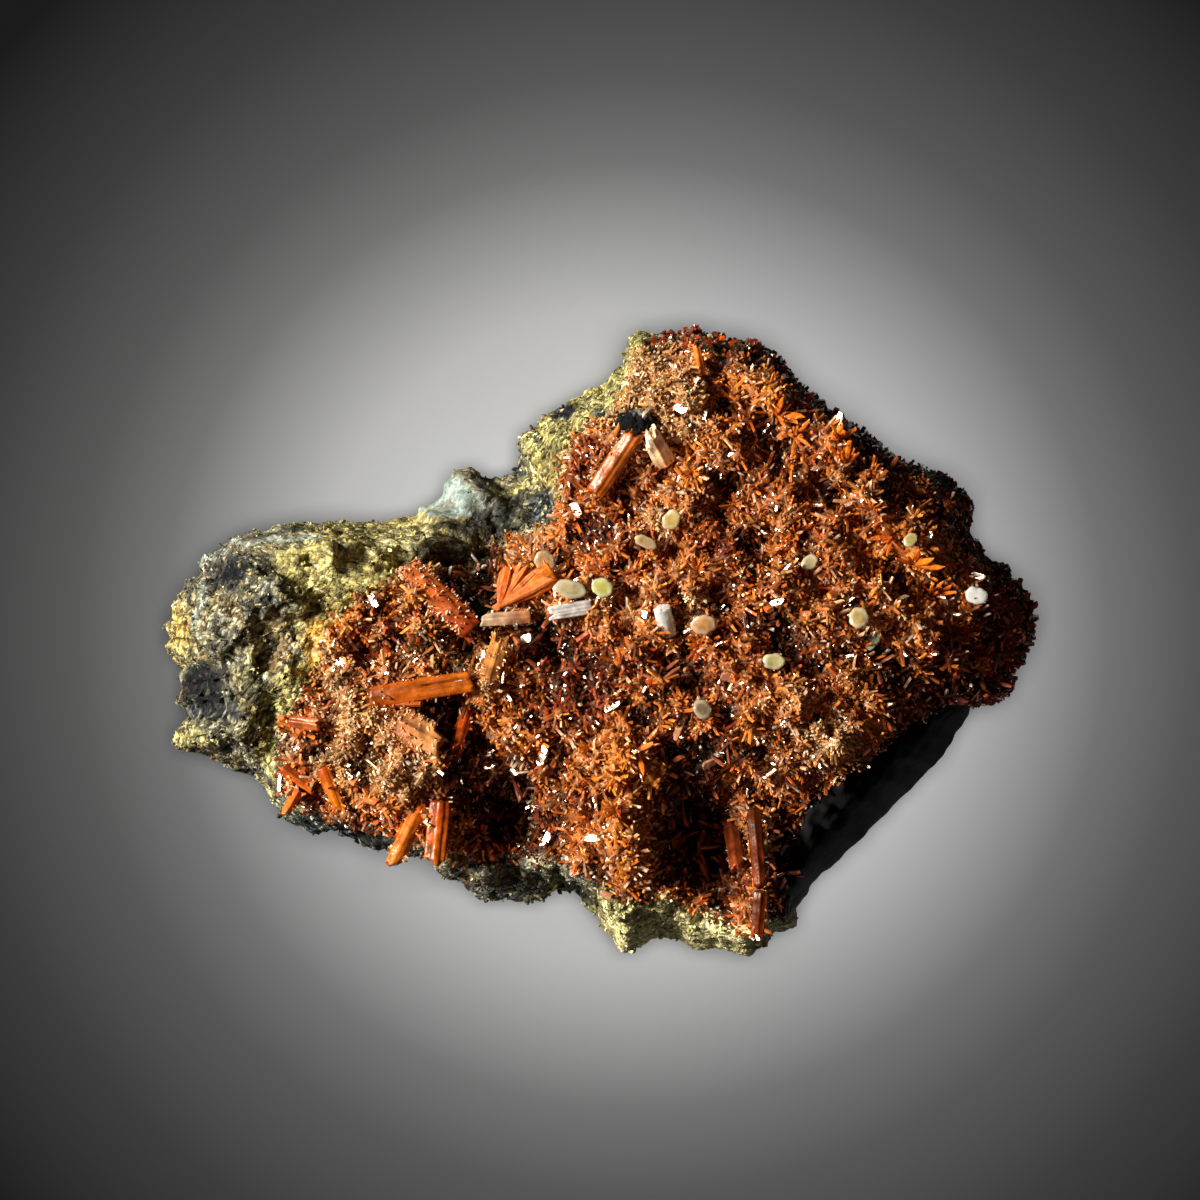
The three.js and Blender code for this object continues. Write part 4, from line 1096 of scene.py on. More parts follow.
# %% Crystals down the outer slope
# Where the bare rim is narrow on the north and east side, stubby crystals go on over its edge and part
# of the way down the wall, close against it, so that the outline stays nearly smooth.
slope = slice(HIDDEN_STEPS + 4, HIDDEN_STEPS + FINE_STEPS // 2)
slope_place = moved[:, slope].reshape(-1, 3)
slope_normal = crumb_normals[:, slope].reshape(-1, 3)
bare = np.interp(angles, rim_angle, rim[:, 2], period=math.tau)
narrow_rim = np.repeat(bare < NARROW_RIM, moved[:, slope].shape[1])
east_side = slope_place[:, 0] + 0.7 * slope_place[:, 1] > 16
ochre = patch_strength(slope_place, OCHRE_PATCHES, 3)
rocky = np.maximum(ochre, patch_strength(slope_place, BLACK_PATCHES, 7))
keep = narrow_rim & east_side & (rocky < 0.5) & (slope_place[:, 2] > 8 + 3 * noise(slope_place, 3.0, 241))
keep &= chance(np.arange(len(keep))[:, None] * np.array([[1, 7]]), 243) < 0.38
slope_place, slope_normal = slope_place[keep], slope_normal[keep]
count = len(slope_place)
wild = rough_draws(count, 244) - 0.5
size = 0.3 + 0.7 * rough_draw(count, 247) ** 2
points, faces = prisms(
    slope_place - 0.35 * size[:, None] * slope_normal, unit(0.5 * slope_normal + 1.8 * wild), size,
    size * (0.5 + 0.5 * rough_draw(count, 248)), size * (0.4 + 0.4 * rough_draw(count, 249)),
    wild[:, 0] * 6, 0.7 + 0.3 * rough_draw(count, 250), 0.3 * wild[:, 1],
)
tint = mixed(mixed(DEEP, BROWN, 0.3 + rough_draw(count, 255)), MAROON, 0.7 * rough_draw(count, 254))
make_piece("druse_outer_slope", points, faces, crocoite, colour=tinted(points, tint, 0.6, 1.1))

# %% [markdown]
# ## Rosettes
#
# Here and there a whole fan of longer crystals opens from one point, like a star. Its crystals are shaped
# like lenses: narrow at the root, widest past the middle and blunt at the tip. They are placed by their
# star, not one by one, so that they truly meet in a point.

# %% Stars of lens-shaped crystals
# The stars that stand out: x, y, the longest crystal's length in mm, heading and width in degrees.
LEADING_STARS = np.array([
    [22.2, 16.2, 3.4, 95, 110], [21.6, 18.4, 2.6, 120, 200], [28.2, 7.2, 3.8, 75, 170],
    [30, 4.4, 2.8, 60, 160], [26.4, 9.6, 2.6, 170, 160], [3.4, -9.6, 3, 90, 360],
    [1.6, -12, 2.6, 250, 240], [16, 20.6, 2.8, 40, 200], [17.6, 18.8, 2.2, 0, 200],
    [24.5, 12, 2.2, 80, 200], [32.6, 0.6, 2.2, 40, 160], [-1, -12, 2.2, 200, 360],
    [26.4, -0.6, 2, 20, 160], [12, 12.6, 2, 60, 360], [-2.5, -17.5, 2.2, 250, 300],
    [17.5, 10, 2.2, 45, 360],
])
star_places = thinned(scattered(4.0, 251, overhang=-0.5), 253, always=0.5, in_hollows=0.3)
plain = np.stack([
    1.2 + 0.9 * rough_draw(len(star_places), 255), 360 * rough_draw(len(star_places), 256),
    90 + 150 * rough_draw(len(star_places), 257),
], 1)
print("stars", len(star_places))
stars = np.concatenate([LEADING_STARS, np.concatenate([star_places, plain], 1)])
EACH = 11
count = len(stars) * EACH
star = np.repeat(stars, EACH, axis=0)
spoke = np.tile(np.arange(EACH), len(stars))
heading = np.radians(star[:, 3] + star[:, 4] * ((spoke + 1.6 * rough_draw(count, 261)) / EACH - 0.5))
rise = np.radians(12 + 58 * rough_draw(count, 262) ** 1.2)
axis = np.stack([np.cos(heading) * np.cos(rise), np.sin(heading) * np.cos(rise), np.sin(rise)], 1)
length = 0.85 * star[:, 2] * (0.35 + 0.65 * rough_draw(count, 263))
width = np.clip(length * (0.16 + 0.14 * rough_draw(count, 264)), 0.22, 0.65)
points, faces = prisms(
    on_crust(star[:, :2], 0.1) + 0.2 * axis, axis, length, width,
    width * (0.45 + 0.25 * rough_draw(count, 265)), 0.5 * (rough_draw(count, 266) - 0.5),
    0.35 + 0.45 * rough_draw(count, 267), 0.3 * (rough_draw(count, 268) - 0.5), sides=6, shoulder=True,
)
star_tint = crocoite_colour(star[:, :2], np.full(count, 0.6), 270)
star_tint = mixed(star_tint, FLAME, np.repeat(smooth(stars[:, 2], 2.0, 2.8), EACH) * 0.75)
star_tint = star_tint * (0.6 + 0.55 * rough_draw(count, 271))[:, None]
make_piece("druse_rosettes", points, faces, crocoite, colour=tinted(points, star_tint, 0.45, 1.2))

# %% [markdown]
# ## Plates that catch the light
#
# What makes a druse sparkle is the odd flat face that happens to mirror the lamp to the eye. Such a face
# stands halfway between the two directions, so its normal is their sum. The larger ones are made as
# six-sided tablets in their own places, and a few dull, pinkish ones lie among them at other angles.

# %% Tablets
# x, y, length, width in mm, heading in degrees, and 1 for a face that mirrors the lamp.
PLATES = np.array([
    [15.8, 3.8, 1.7, 0.65, 10, 1], [-5.3, -10, 2.2, 1.1, 75, 1], [-10, -11, 1.3, 0.6, 12, 1],
    [1.1, -5.6, 1.9, 0.55, 22, 1], [-8.3, -4.7, 1.2, 0.45, -52, 1], [-6.7, 0.5, 1.3, 1, 20, 1],
    [4, 2.7, 0.8, 0.6, 80, 1], [12.9, 2, 0.8, 0.6, 30, 1], [34.2, 6.2, 1.7, 0.7, -15, 1],
    [21.4, 20, 2.3, 0.9, 62, 1], [29.7, 9.7, 1.1, 0.5, 70, 1], [-23.2, -1.4, 1.6, 1, 20, 1],
    [-20.4, 4, 1.7, 0.7, -58, 1], [-17, -5.4, 1.5, 0.9, 25, 1], [-28.9, -12.3, 2.2, 0.4, 90, 1],
    [-0.5, -17.4, 2.1, 0.8, -4, 1], [-5, -17.9, 2.1, 0.8, 62, 1], [0.5, -22.6, 1.3, 0.8, -20, 0],
    [-2.2, 12.2, 1.6, 1, -60, 1], [7.2, 21.2, 1.5, 0.9, -20, 1], [9.4, 20.7, 1.1, 0.5, 80, 1],
    [15.2, -16.1, 1.3, 0.6, -35, 1], [12, -19, 0.6, 0.5, 80, 1], [16.8, -18.5, 1.8, 0.5, 62, 0],
    [14.2, -26.4, 0.9, 0.4, -60, 1], [7.1, -7.5, 2.8, 0.75, 72, 0], [12, -3.1, 2.6, 1.3, -25, 0],
    [9.9, -10.8, 1.6, 0.8, 20, 0], [31, 3.7, 1.1, 0.9, 30, 0], [-10.6, -1.2, 1.6, 0.55, 82, 1],
    [31.2, 4.8, 1.3, 0.8, 20, 0], [-19.6, -2.4, 1.4, 0.9, 60, 0], [5.4, -18.8, 0.7, 0.5, 40, 1],
])
# Where the lamp and the camera will stand. A tablet's outline is given as shares of its length and width.
CAMERA_PLACE, KEY_PLACE = np.array([0.0, 0.004, 0.712]) / MM, np.array([-0.52, 0.10, 0.42]) / MM
TABLET_OUTLINE = np.array([[-0.5, -0.4], [0.3, -0.5], [0.5, -0.1], [0.5, 0.4], [-0.3, 0.5], [-0.5, 0.1]])


def tablets(centre, normal, heading, length, width, thick):
    """Six-sided tablets: an outline in the plane across each normal, once on top and once thick below."""
    towards = np.stack([np.cos(heading), np.sin(heading), np.zeros(len(heading))], 1)
    along = unit(towards - normal * np.sum(towards * normal, axis=1, keepdims=True))
    across = np.cross(normal, along)
    u, v = TABLET_OUTLINE[:, 0] * length[:, None], TABLET_OUTLINE[:, 1] * width[:, None]
    top = centre[:, None] + along[:, None] * u[..., None] + across[:, None] * v[..., None]
    points = np.concatenate([top - normal[:, None] * thick[:, None, None], top], 1)
    return points, many_capped(len(centre), 2, len(TABLET_OUTLINE))


plan, mirrors = PLATES[:, :2], PLATES[:, 5:] > 0
centre = on_crust(plan, 0.6)
halfway = unit(unit(CAMERA_PLACE - centre) + unit(KEY_PLACE - centre))
tipped = rough_draws(len(plan), 281) - 0.5
normal = np.where(mirrors, unit(halfway + 0.16 * tipped), unit(upward(plan, crust_height) + [0.3, 0, 0.6]))
long, wide = 0.85 * PLATES[:, 2], 0.8 * PLATES[:, 3]
points, faces = tablets(centre, normal, np.radians(PLATES[:, 4]), long, wide, 0.5 * wide)
tint = np.where(mirrors, linear("#e4b890"), linear("#b07858"))
make_piece(
    "druse_tablets", points, faces, crocoite_facet, colour=tinted(points, tint, 0.7, 1.1),
)

# %% Pale crystal and black oxide materials
def pale_material():
    """Cerussite, clear and faintly yellow: light enters, scatters a little and leaves with a glow."""
    material, tree, surface = new_material("cerussite_clear_natural")
    place = add(tree, "TexCoord")["Object"]
    base = add(tree, "Attribute", {"attribute_name": "colour"})["Color"]
    cloud = add(tree, "TexNoise", {}, {"Vector": place, "Scale": 1200.0, "Detail": 3.0, "Roughness": 0.6})
    body = multiplied(tree, 1.0, base, ranged(tree, cloud["Fac"], 0.3, 0.7, 0.85, 1.1))
    rough = ranged(tree, cloud["Fac"], 0.0, 1.0, 0.08, 0.3)
    bump = add(tree, "Bump", {}, {"Strength": 0.3, "Distance": 0.00004, "Height": cloud["Fac"]})
    principled(tree, surface, {
        "Base Color": body, "Roughness": rough, "Normal": bump[0], "IOR": 2.0, "Transmission Weight": 0.35,
        "Subsurface Weight": 0.5, "Subsurface Radius": (1.0, 0.9, 0.6), "Subsurface Scale": 0.001,
    })
    return material


cerussite = pale_material()
black_oxide = gossan_material("manganese_oxide_botryoidal", 0.9, 0.0001)

# %% [markdown]
# ## The larger crystals
#
# A big crocoite crystal is a flattened prism that grew as a bundle of thinner ones which kept step. Its
# end is seldom a clean face: the bundle stops at several heights. So the form is a grid: round the
# section in one direction, and along the axis in the other, with an end that steps from one column of
# the bundle to the next. The druse grew up round its foot, so thinner crystals lean on its flanks and
# sugar-like grains sit on its faces, more of them near the foot.

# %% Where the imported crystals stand
# name, root x y, tip x y, height of each end over the druse, width, thickness, slant, narrowing
BLADES = [
    ("blade_slotted", (-20.4, -4.7), (-11.8, -3.4), (-0.1, 0.7), 2.1, 1.4, 0.4, 0.92),
    ("blade_leaning", (-11.7, 1.6), (-17.2, 7.0), (0.1, 2.1), 2.3, 1.6, -0.5, 0.8),
    ("blade_pink_stub", (-18.2, -6.8), (-14.9, -8.6), (0.5, 1.0), 2.6, 1.5, 0.3, 0.9),
    ("blade_at_pit", (-12.0, -6.0), (-12.8, -9.2), (0.2, 1.4), 1.1, 1.0, 0.4, 0.8),
    ("blade_column", (-10.6, -5.1), (-8.9, 0.6), (0.2, 2.2), 1.9, 1.5, -0.3, 0.75),
    ("blade_rim_left", (-16.2, -14.8), (-18.6, -19.7), (0.5, 3.4), 1.6, 1.3, 0.5, 0.85),
    ("blade_rim_right", (-14.4, -14.3), (-14.9, -19.4), (0.8, 3.0), 2.0, 1.4, 0.1, 0.95),
    ("blade_west_upper", (-28.5, -11.2), (-26.0, -13.0), (0.6, 1.2), 1.1, 0.9, 0.3, 0.8),
    ("blade_west_lower", (-27.2, -13.3), (-28.3, -15.2), (0.4, 1.8), 1.0, 0.9, 0.3, 0.8),
    ("blade_south_west", (-24.9, -11.2), (-23.5, -14.8), (0.3, 1.3), 1.2, 1.0, -0.3, 0.8),
    ("blade_west_block", (-27.8, -6.9), (-25.4, -7.2), (0.5, 1.2), 1.2, 1.0, 0.2, 0.9),
    ("blade_arrowhead", (-4.4, 6.3), (-9.1, 3.5), (0.4, 1.6), 2.4, 1.2, 0.2, 0.2),
    ("blade_pale", (-6.4, 2.5), (-10.7, 2.2), (0.4, 1.0), 1.3, 1.0, -0.3, 0.9),
    ("blade_silver", (-0.9, 3.4), (-4.4, 2.8), (0.8, 1.4), 1.4, 0.9, -0.4, 0.9),
    ("blade_north", (-0.3, 13.8), (3.0, 18.8), (0.3, 2.0), 1.9, 1.5, 0.3, 0.9),
    ("blade_north_stub", (5.8, 16.4), (4.5, 18.8), (0.3, 1.6), 2.0, 1.3, 0.4, 0.8),
    ("blade_summit", (9.1, 24.4), (8.7, 26.9), (0.1, 2.2), 0.9, 0.8, 0.2, 0.7),
    ("blade_vug_upper", (13.9, -15.2), (14.4, -21.6), (0.2, 1.0), 1.4, 1.2, 0.2, 0.8),
    ("blade_vug_lower", (14.5, -22.4), (14.2, -26.2), (0.4, 1.4), 1.4, 1.1, -0.2, 0.8),
    ("blade_vug_inner", (11.9, -16.3), (12.4, -20.3), (0.2, 1.8), 1.5, 1.2, 0.2, 0.8),
    ("pale_prism", (6.1, 1.0), (5.5, 3.3), (0.5, 1.2), 1.6, 1.3, 0.1, 0.95),
]
# Colours at the foot and the tip, where they differ from the usual orange, and the number of grains on it.
PLAIN_LOOK = ("#b04a0a", "#dc7c28", 110)
LOOKS = {
    "blade_slotted": ("#8c3e0a", "#a8540f", 90), "blade_leaning": ("#742404", "#b05c26", 800),
    "blade_pink_stub": ("#8c4c24", "#b87c44", 500), "blade_at_pit": ("#842a06", "#b04c14", 60),
    "blade_column": ("#905020", "#c08040", 260), "blade_west_block": ("#8a3814", "#c06c38", 60),
    "blade_west_upper": ("#8a340a", "#c05c18", 60), "blade_west_lower": ("#943c0a", "#cc6c20", 60),
    "blade_south_west": ("#943c0a", "#d07018", 60), "blade_arrowhead": ("#dc7824", "#c86018", 40),
    "blade_pale": ("#a4643c", "#a8987c", 60), "blade_silver": ("#a49c98", "#e0dcd4", 12),
    # The north stub's near-white peach is painted light: it faces away from the key light.
    "blade_north": ("#843c0a", "#a0521c", 36), "blade_north_stub": ("#ffc890", "#ffe0b8", 40),
    "blade_vug_upper": ("#421804", "#662606", 30), "blade_vug_inner": ("#421606", "#843814", 40),
    "blade_vug_lower": ("#4c1c06", "#702a04", 30), "blade_rim_right": ("#8a3204", "#a85008", 24),
    "pale_prism": ("#fffae8", "#fffdf4", 0),
}
# Blades whose grains gather at the tip, and blades with grains all round. With fewer grains than
# FEW_GRAINS a blade also stands free of thinner prisms.
TIP_CRUSTED = ("blade_leaning", "blade_north")
ALL_CRUSTED = ("blade_leaning", "blade_pink_stub", "blade_column")
FEW_GRAINS = 50
# Points round a blade and along it, and how many columns of the bundle end each at its own height.
ROUND, LONG, COLUMNS = 48, 30, 4
# The hexagon's sides: the direction that each faces, and its distance from the middle.
SIDES = np.array([
    [1, 0, 0.97], [-1, 0, 0.97], [0.5, 0.87, 0.92], [-0.5, 0.87, 0.92], [0.5, -0.87, 0.92],
    [-0.5, -0.87, 0.92],
])


def blade_frame(root, tip):
    """Axis, level direction across it, upward direction square to both, and length, from the two ends."""
    axis = unit(tip - root)
    level = unit(np.array([axis[1], -axis[0], 0.0]))
    return axis, level, np.cross(level, axis), np.linalg.norm(tip - root)


def blade_form(root, tip, width, thick, slant, narrow, seed, slot, ragged):
    """A bundle-like prism as a grid of points: radius(u) is a flattened hexagon, and the end steps with u.

    Round the axis, the hexagon's own radius is the nearest of its six sides. Along the axis it narrows
    towards the tip, and the last rows close over the end.
    """
    axis, across, out, length = blade_frame(root, tip)
    u = np.arange(ROUND) / ROUND * math.tau
    facing = np.cos(u)[:, None] * SIDES[:, 0] + np.sin(u)[:, None] * SIDES[:, 1]
    hexagon = np.min(np.where(facing > 0.05, SIDES[:, 2] / np.maximum(facing, 0.05), 9), axis=1)
    radius = hexagon * (1 + 0.07 * noise(u[:, None] * 3.1 + seed, 1.0, seed))
    v = np.concatenate([np.linspace(-0.04, 1, LONG - 3), [1, 1, 1]])
    inward = np.concatenate([np.ones(LONG - 3), [0.95, 0.6, 0.25]])
    swell = np.clip(0.9 + v * 0.6, 0, 1) * (1 + (narrow - 1) * np.clip(v, 0, 1) ** 2)
    grow = (swell * inward)[:, None] * radius[None]
    x = grow * np.cos(u) * width / 2
    y = grow * np.sin(u) * thick / 2
    column = np.floor((x / width + 0.5) * COLUMNS).astype(int).reshape(-1, 1)
    step = (chance(column * [[1, 0]], seed) - 0.5).reshape(x.shape)
    end = np.clip((v - 0.8) / 0.2, 0, 1)[:, None]
    along = v[:, None] * length + end * (slant * x + ragged * step * width)
    if slot:
        gap = np.exp(-(((x + 0.28) / 0.15) ** 4)) * (y > 0)
        gap = gap * (smooth(v, 0.5, 0.56) * (1 - smooth(v, 0.86, 0.92)))[:, None]
        y = y - 0.8 * thick * 0.5 * gap
    form = root + axis * along[..., None] + across * x[..., None] + out * y[..., None]
    bend = layered(form.reshape(-1, 3), [(1.8, 0.1), (0.6, 0.05)], seed + 3).reshape(x.shape)
    return form + out * bend[..., None]


# %% What grows on a blade


def companions(root, tip, width, thick, seed, each=8):
    """Thin prisms laid along a blade's flanks: each starts beside its foot and keeps nearly its heading."""
    axis, level, up, length = blade_frame(root, tip)
    draws = rough_draws(each, seed, 9)
    side = np.where(draws[:, :1] > 0.5, 0.36, -0.36) * width * (0.9 + 0.4 * draws[:, 1:2])
    start = root + axis * (draws[:, 2:3] * 0.5 - 0.1) * length + level * side - up * 0.2 * thick
    own = unit(axis + 0.3 * (draws[:, 3:6] - 0.5))
    size = width * (0.2 + 0.2 * draws[:, 7])
    return prisms(
        start, own, length * (0.2 + 0.25 * draws[:, 6]), size, size * 0.8, draws[:, 8] * math.tau,
        0.7 + 0.3 * draws[:, 0], 0.4 * (draws[:, 1] - 0.5), sides=6,
    )


def fan(root, tip, thick, seed, each=17):
    """A feathery fan of flat lens-shaped prisms that opens upward from a blade's tip end, over its body."""
    draws = rough_draws(each, seed, 6)
    axis, _, up, length = blade_frame(tip, root)
    turned = np.radians(-8 + 66 * (np.arange(each) + 0.5 * draws[:, 0]) / each)[:, None]
    sideways = np.cross(up, axis)
    own = unit(axis * np.cos(turned) + sideways * np.sin(turned) + up * 0.10 * (draws[:, 1:2] - 0.3))
    reach = length * (1.02 - 0.45 * np.linspace(0, 1, each)) * (0.85 + 0.2 * draws[:, 2])
    start = tip + up * (0.2 * thick + 0.25 * draws[:, 3:4])
    return prisms(
        start, own, reach, 0.6 + 0.4 * draws[:, 4], np.full(each, 0.35), np.zeros(each),
        0.4 + 0.4 * draws[:, 5], 0.2 * (draws[:, 0] - 0.5), sides=6, shoulder=True,
    )


def grains_on(form, from_tip, all_round, count, seed):
    """Three-sided grains on a blade's form: on its flanks, or all round it, more of them near one end."""
    draws = rough_draws(count, seed, 10)
    row = np.floor(draws[:, 0] ** 1.7 * (LONG - 5)).astype(int)
    row = LONG - 4 - row if from_tip else row
    flank = math.tau * (0.28 * draws[:, 1] - 0.18)
    flank = np.where(draws[:, 9] > 0.5, flank, math.pi - flank)
    flank = np.where(all_round * draws[:, 8] > 0.5, math.tau * draws[:, 1], flank)
    column = np.floor(flank / math.tau * ROUND).astype(int) % ROUND
    place = form[row, column]
    away = unit(place - form[row].mean(axis=1))
    size = 0.14 + 0.3 * draws[:, 2] ** 2
    return prisms(
        place - 0.05 * away, unit(away + 1.6 * (draws[:, 3:6] - 0.5)), size, size * 0.7, size * 0.5,
        draws[:, 6] * math.tau, 0.5 + 0.5 * draws[:, 7], 0.4 * (draws[:, 8] - 0.5), sides=3,
    )


# %% Blades
for index, (name, root_plan, tip_plan, lift, width, thick, slant, narrow) in enumerate(BLADES):
    plan = np.array([root_plan, tip_plan])
    root, tip = np.concatenate([plan, (druse_height(*plan.T) + lift)[:, None]], 1)
    form = blade_form(root, tip, width, thick, slant, narrow, 300 + 7 * index,
                      slot=name == "blade_slotted", ragged=0.1 if name == "pale_prism" else 0.6)
    parts = [(form, capped(LONG, ROUND))]
    foot, end, grain_count = LOOKS.get(name, PLAIN_LOOK)
    along = np.repeat(np.linspace(0, 1, LONG), ROUND)
    line = np.tile(noise(np.arange(ROUND)[:, None] * 0.7 + 40.0 * index, 1.0, 331), LONG)
    tone = 1 + 0.3 * line + 0.45 * layered(form.reshape(-1, 3), [(2.2, 0.5), (0.8, 0.7)], 320 + index)
    colours = [mixed(linear(foot), linear(end), along) * np.clip(tone, 0.3, 1.5)[:, None]]
    if name == "blade_arrowhead":
        parts.append(fan(root, tip, thick, 500))
        tint = mixed(DEEP, GOLD, 0.6 * rough_draw(len(parts[-1][0]), 363))
        colours.append(tinted(parts[-1][0], tint, 0.7, 1.3))
    elif grain_count > FEW_GRAINS:
        parts.append(companions(root, tip, width, thick, 500 + 11 * index))
        tint = mixed(linear(foot), BROWN, rough_draw(len(parts[-1][0]), 353 + index))
        colours.append(tinted(parts[-1][0], tint, 0.7, 1.3))
    if grain_count:
        at_tip = name in TIP_CRUSTED
        parts.append(grains_on(form, at_tip, name in ALL_CRUSTED, grain_count, 600 + 13 * index))
        pale_share = 0.8 * rough_draw(grain_count, 343 + index) ** (1.8 if at_tip else 3.0)
        tint = mixed(linear(end), PALE_GOLD, pale_share)
        tint = tint * (0.8 + 0.4 * rough_draw(grain_count, 373 + index))[:, None]
        colours.append(tinted(parts[-1][0], tint, 0.9, 1.2))
    starts = np.cumsum([0] + [part.size // 3 for part, _ in parts])
    faces = [f + start for start, (_, own) in zip(starts, parts) for f in own]
    pale = name == "pale_prism"
    make_piece(
        name + "_grown", np.concatenate([part.reshape(-1, 3) for part, _ in parts]), faces,
        cerussite if pale else crocoite_clear,
        replaces=[name], colour=np.clip(np.concatenate(colours), 0, 1), flat=(LONG - 1) * ROUND,
    )

# %% [markdown]
# ## Pale grains and the black nodule
#
# The pale yellow-green grains are small worn tablets, clear enough to glow where light comes through,
# with a rounded rim. Each is a profile turned round an upright axis, squeezed to an oval and tilted. The
# nodule is a black knob of manganese oxide, built of small warts.

# %% Pale grains
# x, y, length, breadth, turn in degrees, tint, for pale_grain_1 and on
GRAINS = [
    (-2.7, 5.0, 2.7, 1.7, 0, "#c8b884"), (0.2, 5.1, 1.9, 1.6, 20, "#d0cc5c"),
    (-5.0, 7.5, 1.9, 1.8, 60, "#d0a060"), (6.4, 11.2, 1.8, 1.5, 40, "#d8b85c"),
    (4.1, 9.2, 1.9, 1.1, -30, "#d2a864"), (9.3, 1.8, 2.0, 1.9, 10, "#cc8a38"),
    (15.6, -1.5, 1.8, 1.5, 15, "#cfc67c"), (9.2, -5.8, 1.6, 1.6, 0, "#86683a"),
    (23.2, 2.4, 1.9, 1.7, -20, "#c8a85c"), (18.8, 7.4, 1.6, 1.1, 25, "#c4b078"),
    (27.9, 9.4, 1.3, 1.1, 30, "#c8b454"), (34.0, 4.4, 1.8, 1.6, -20, "#f4f4f0"),
    (24.6, 0.4, 1.8, 1.1, 65, "#dcd8b4"),
]
# A grain's profile: radius and height as shares, from its underside to its top.
TABLET = np.array([
    [0.06, -0.5], [0.5, -0.48], [0.82, -0.36], [0.97, -0.12], [1, 0.1], [0.95, 0.26], [0.84, 0.34],
    [0.6, 0.38], [0.36, 0.4], [0.06, 0.41],
])
TABLET_ROUND = 40


def curve_between(points, steps):
    """Straight runs between points, cut in equal steps."""
    t = np.linspace(0, len(points) - 1, (len(points) - 1) * steps + 1)
    return np.stack([np.interp(t, np.arange(len(points)), points[:, k]) for k in range(2)], 1)


def crust_top_near(x, y, radius=0.7):
    """The highest point of the crust within a short reach of a place."""
    circle = np.linspace(0, math.tau, 9)[:-1]
    near = [[x, y]] + radius * np.stack([np.cos(circle), np.sin(circle)], 1)
    return crust_height(np.concatenate([near, [[x, y]]])).max()


def tablet(x, y, length, breadth, turn, seed, lean):
    """A profile of radius and height turned round an axis, squeezed to an oval, dented and tilted by lean.

    The outline has blunt corners, seven or so, and the top is dimpled: both are sine waves and noise.
    """
    profile = curve_between(TABLET, 4)
    around = np.arange(TABLET_ROUND) / TABLET_ROUND * math.tau
    corners = 5 + seed % 3
    uneven = 1 + 0.1 * np.sin(2 * around + seed) + 0.09 * np.abs(np.sin(corners * around / 2 + 2 * seed))
    uneven = uneven + 0.08 * noise(around[:, None] * 1.3 + 9 * seed, 1.0, seed) * np.sin(around / 2)
    radius = profile[:, :1] * uneven
    east, north = radius * np.cos(around) * length / 2, radius * np.sin(around) * breadth / 2
    high = np.broadcast_to(profile[:, 1:] * breadth * 0.55, east.shape)
    flat = np.stack([east.ravel(), north.ravel()], 1)
    dimples = layered(flat, [(0.9, 0.1), (0.35, 0.02)], seed).reshape(east.shape)
    high = high + east * lean[0] + north * lean[1] + dimples * (profile[:, 1:] > 0.2)
    c, s = math.cos(math.radians(turn)), math.sin(math.radians(turn))
    base = float(crust_top_near(x, y)) + 0.45
    return np.stack([x + east * c - north * s, y + east * s + north * c, base + high], -1)


for index, (x, y, length, breadth, turned, tint) in enumerate(GRAINS):
    lean = 0.4 * (chance(np.array([[index + 3, 1], [index + 3, 2]]), 7) - 0.5)
    form = tablet(x, y, length, breadth, turned, index + 3, lean)
    rows = len(form)
    points = form.reshape(-1, 3)
    share = np.repeat(np.linspace(0, 1, rows), TABLET_ROUND)
    rim_light = smooth(share, 0.4, 0.6) * (1 - smooth(share, 0.72, 0.85))
    cloud = 1 + 0.18 * layered(points, [(0.7, 0.6), (0.3, 0.3)], 360 + index)
    colour = mixed(linear(tint), linear("#fbf6dc"), 0.1 + 0.3 * rim_light) * cloud[:, None]
    faces = [face[:, ::-1] for face in capped(rows, TABLET_ROUND)]
    name = f"pale_grain_{index + 1}"
    make_piece(name + "_grown", points, faces, cerussite, replaces=[name],
               colour=np.clip(colour, 0, 1), flat=False)

# %% Black nodule
BALL_ROWS, BALL_ROUND, POLE_GAP, WART = 60, 96, 0.03, 0.8
NODULE_RADII = np.array([1.8, 1.3, 1.2])
around, over = np.meshgrid(
    np.arange(BALL_ROUND) / BALL_ROUND * math.tau, np.linspace(POLE_GAP, math.pi - POLE_GAP, BALL_ROWS),
)
ball = np.stack([np.sin(over) * np.cos(around), np.sin(over) * np.sin(around), np.cos(over)], -1)
ball = ball.reshape(-1, 3)
wart, _ = nearest_seed(ball * 2, WART, 401)
swell = 1 + 0.28 * (0.5 - np.linalg.norm(wart, axis=1) / WART) + 0.08 * noise(ball * 2, 0.3, 403)
nodule_place = np.array([3.2, 19.9, druse_height(np.array([3.2]), np.array([20.6]))[0] + 0.5])
knob = nodule_place + ball * swell[:, None] * NODULE_RADII
knob_colour = linear("#0b0b0d") * (1 + 0.4 * noise(knob, 0.4, 405))[:, None]
# Pale grey on the side of the knob that faces up and to the north-east.
pale_side = smooth(ball @ unit(np.array([0.5, 0.8, 0.5])) + 0.2 * noise(knob, 0.3, 407), 0.8, 1.0)
knob_colour = mixed(knob_colour, linear("#a8a89c"), 0.7 * pale_side)
make_piece(
    "nodule_warts", knob, capped(BALL_ROWS, BALL_ROUND), black_oxide,
    replaces=["black_nodule"], colour=knob_colour, flat=False,
)

# %% [markdown]
# ## Floor, light and camera
#
# A mineral is shown on a plain ground with one strong light from a low side, because low light makes
# every small face either shine or fall into shadow. A weak fill keeps the shadows readable. Light that
# has passed through crocoite comes out amber, so a weak amber lamp lights the crystals' own shadows.
# The weak lamps stay out of reflections, which would otherwise show them as grey patches.

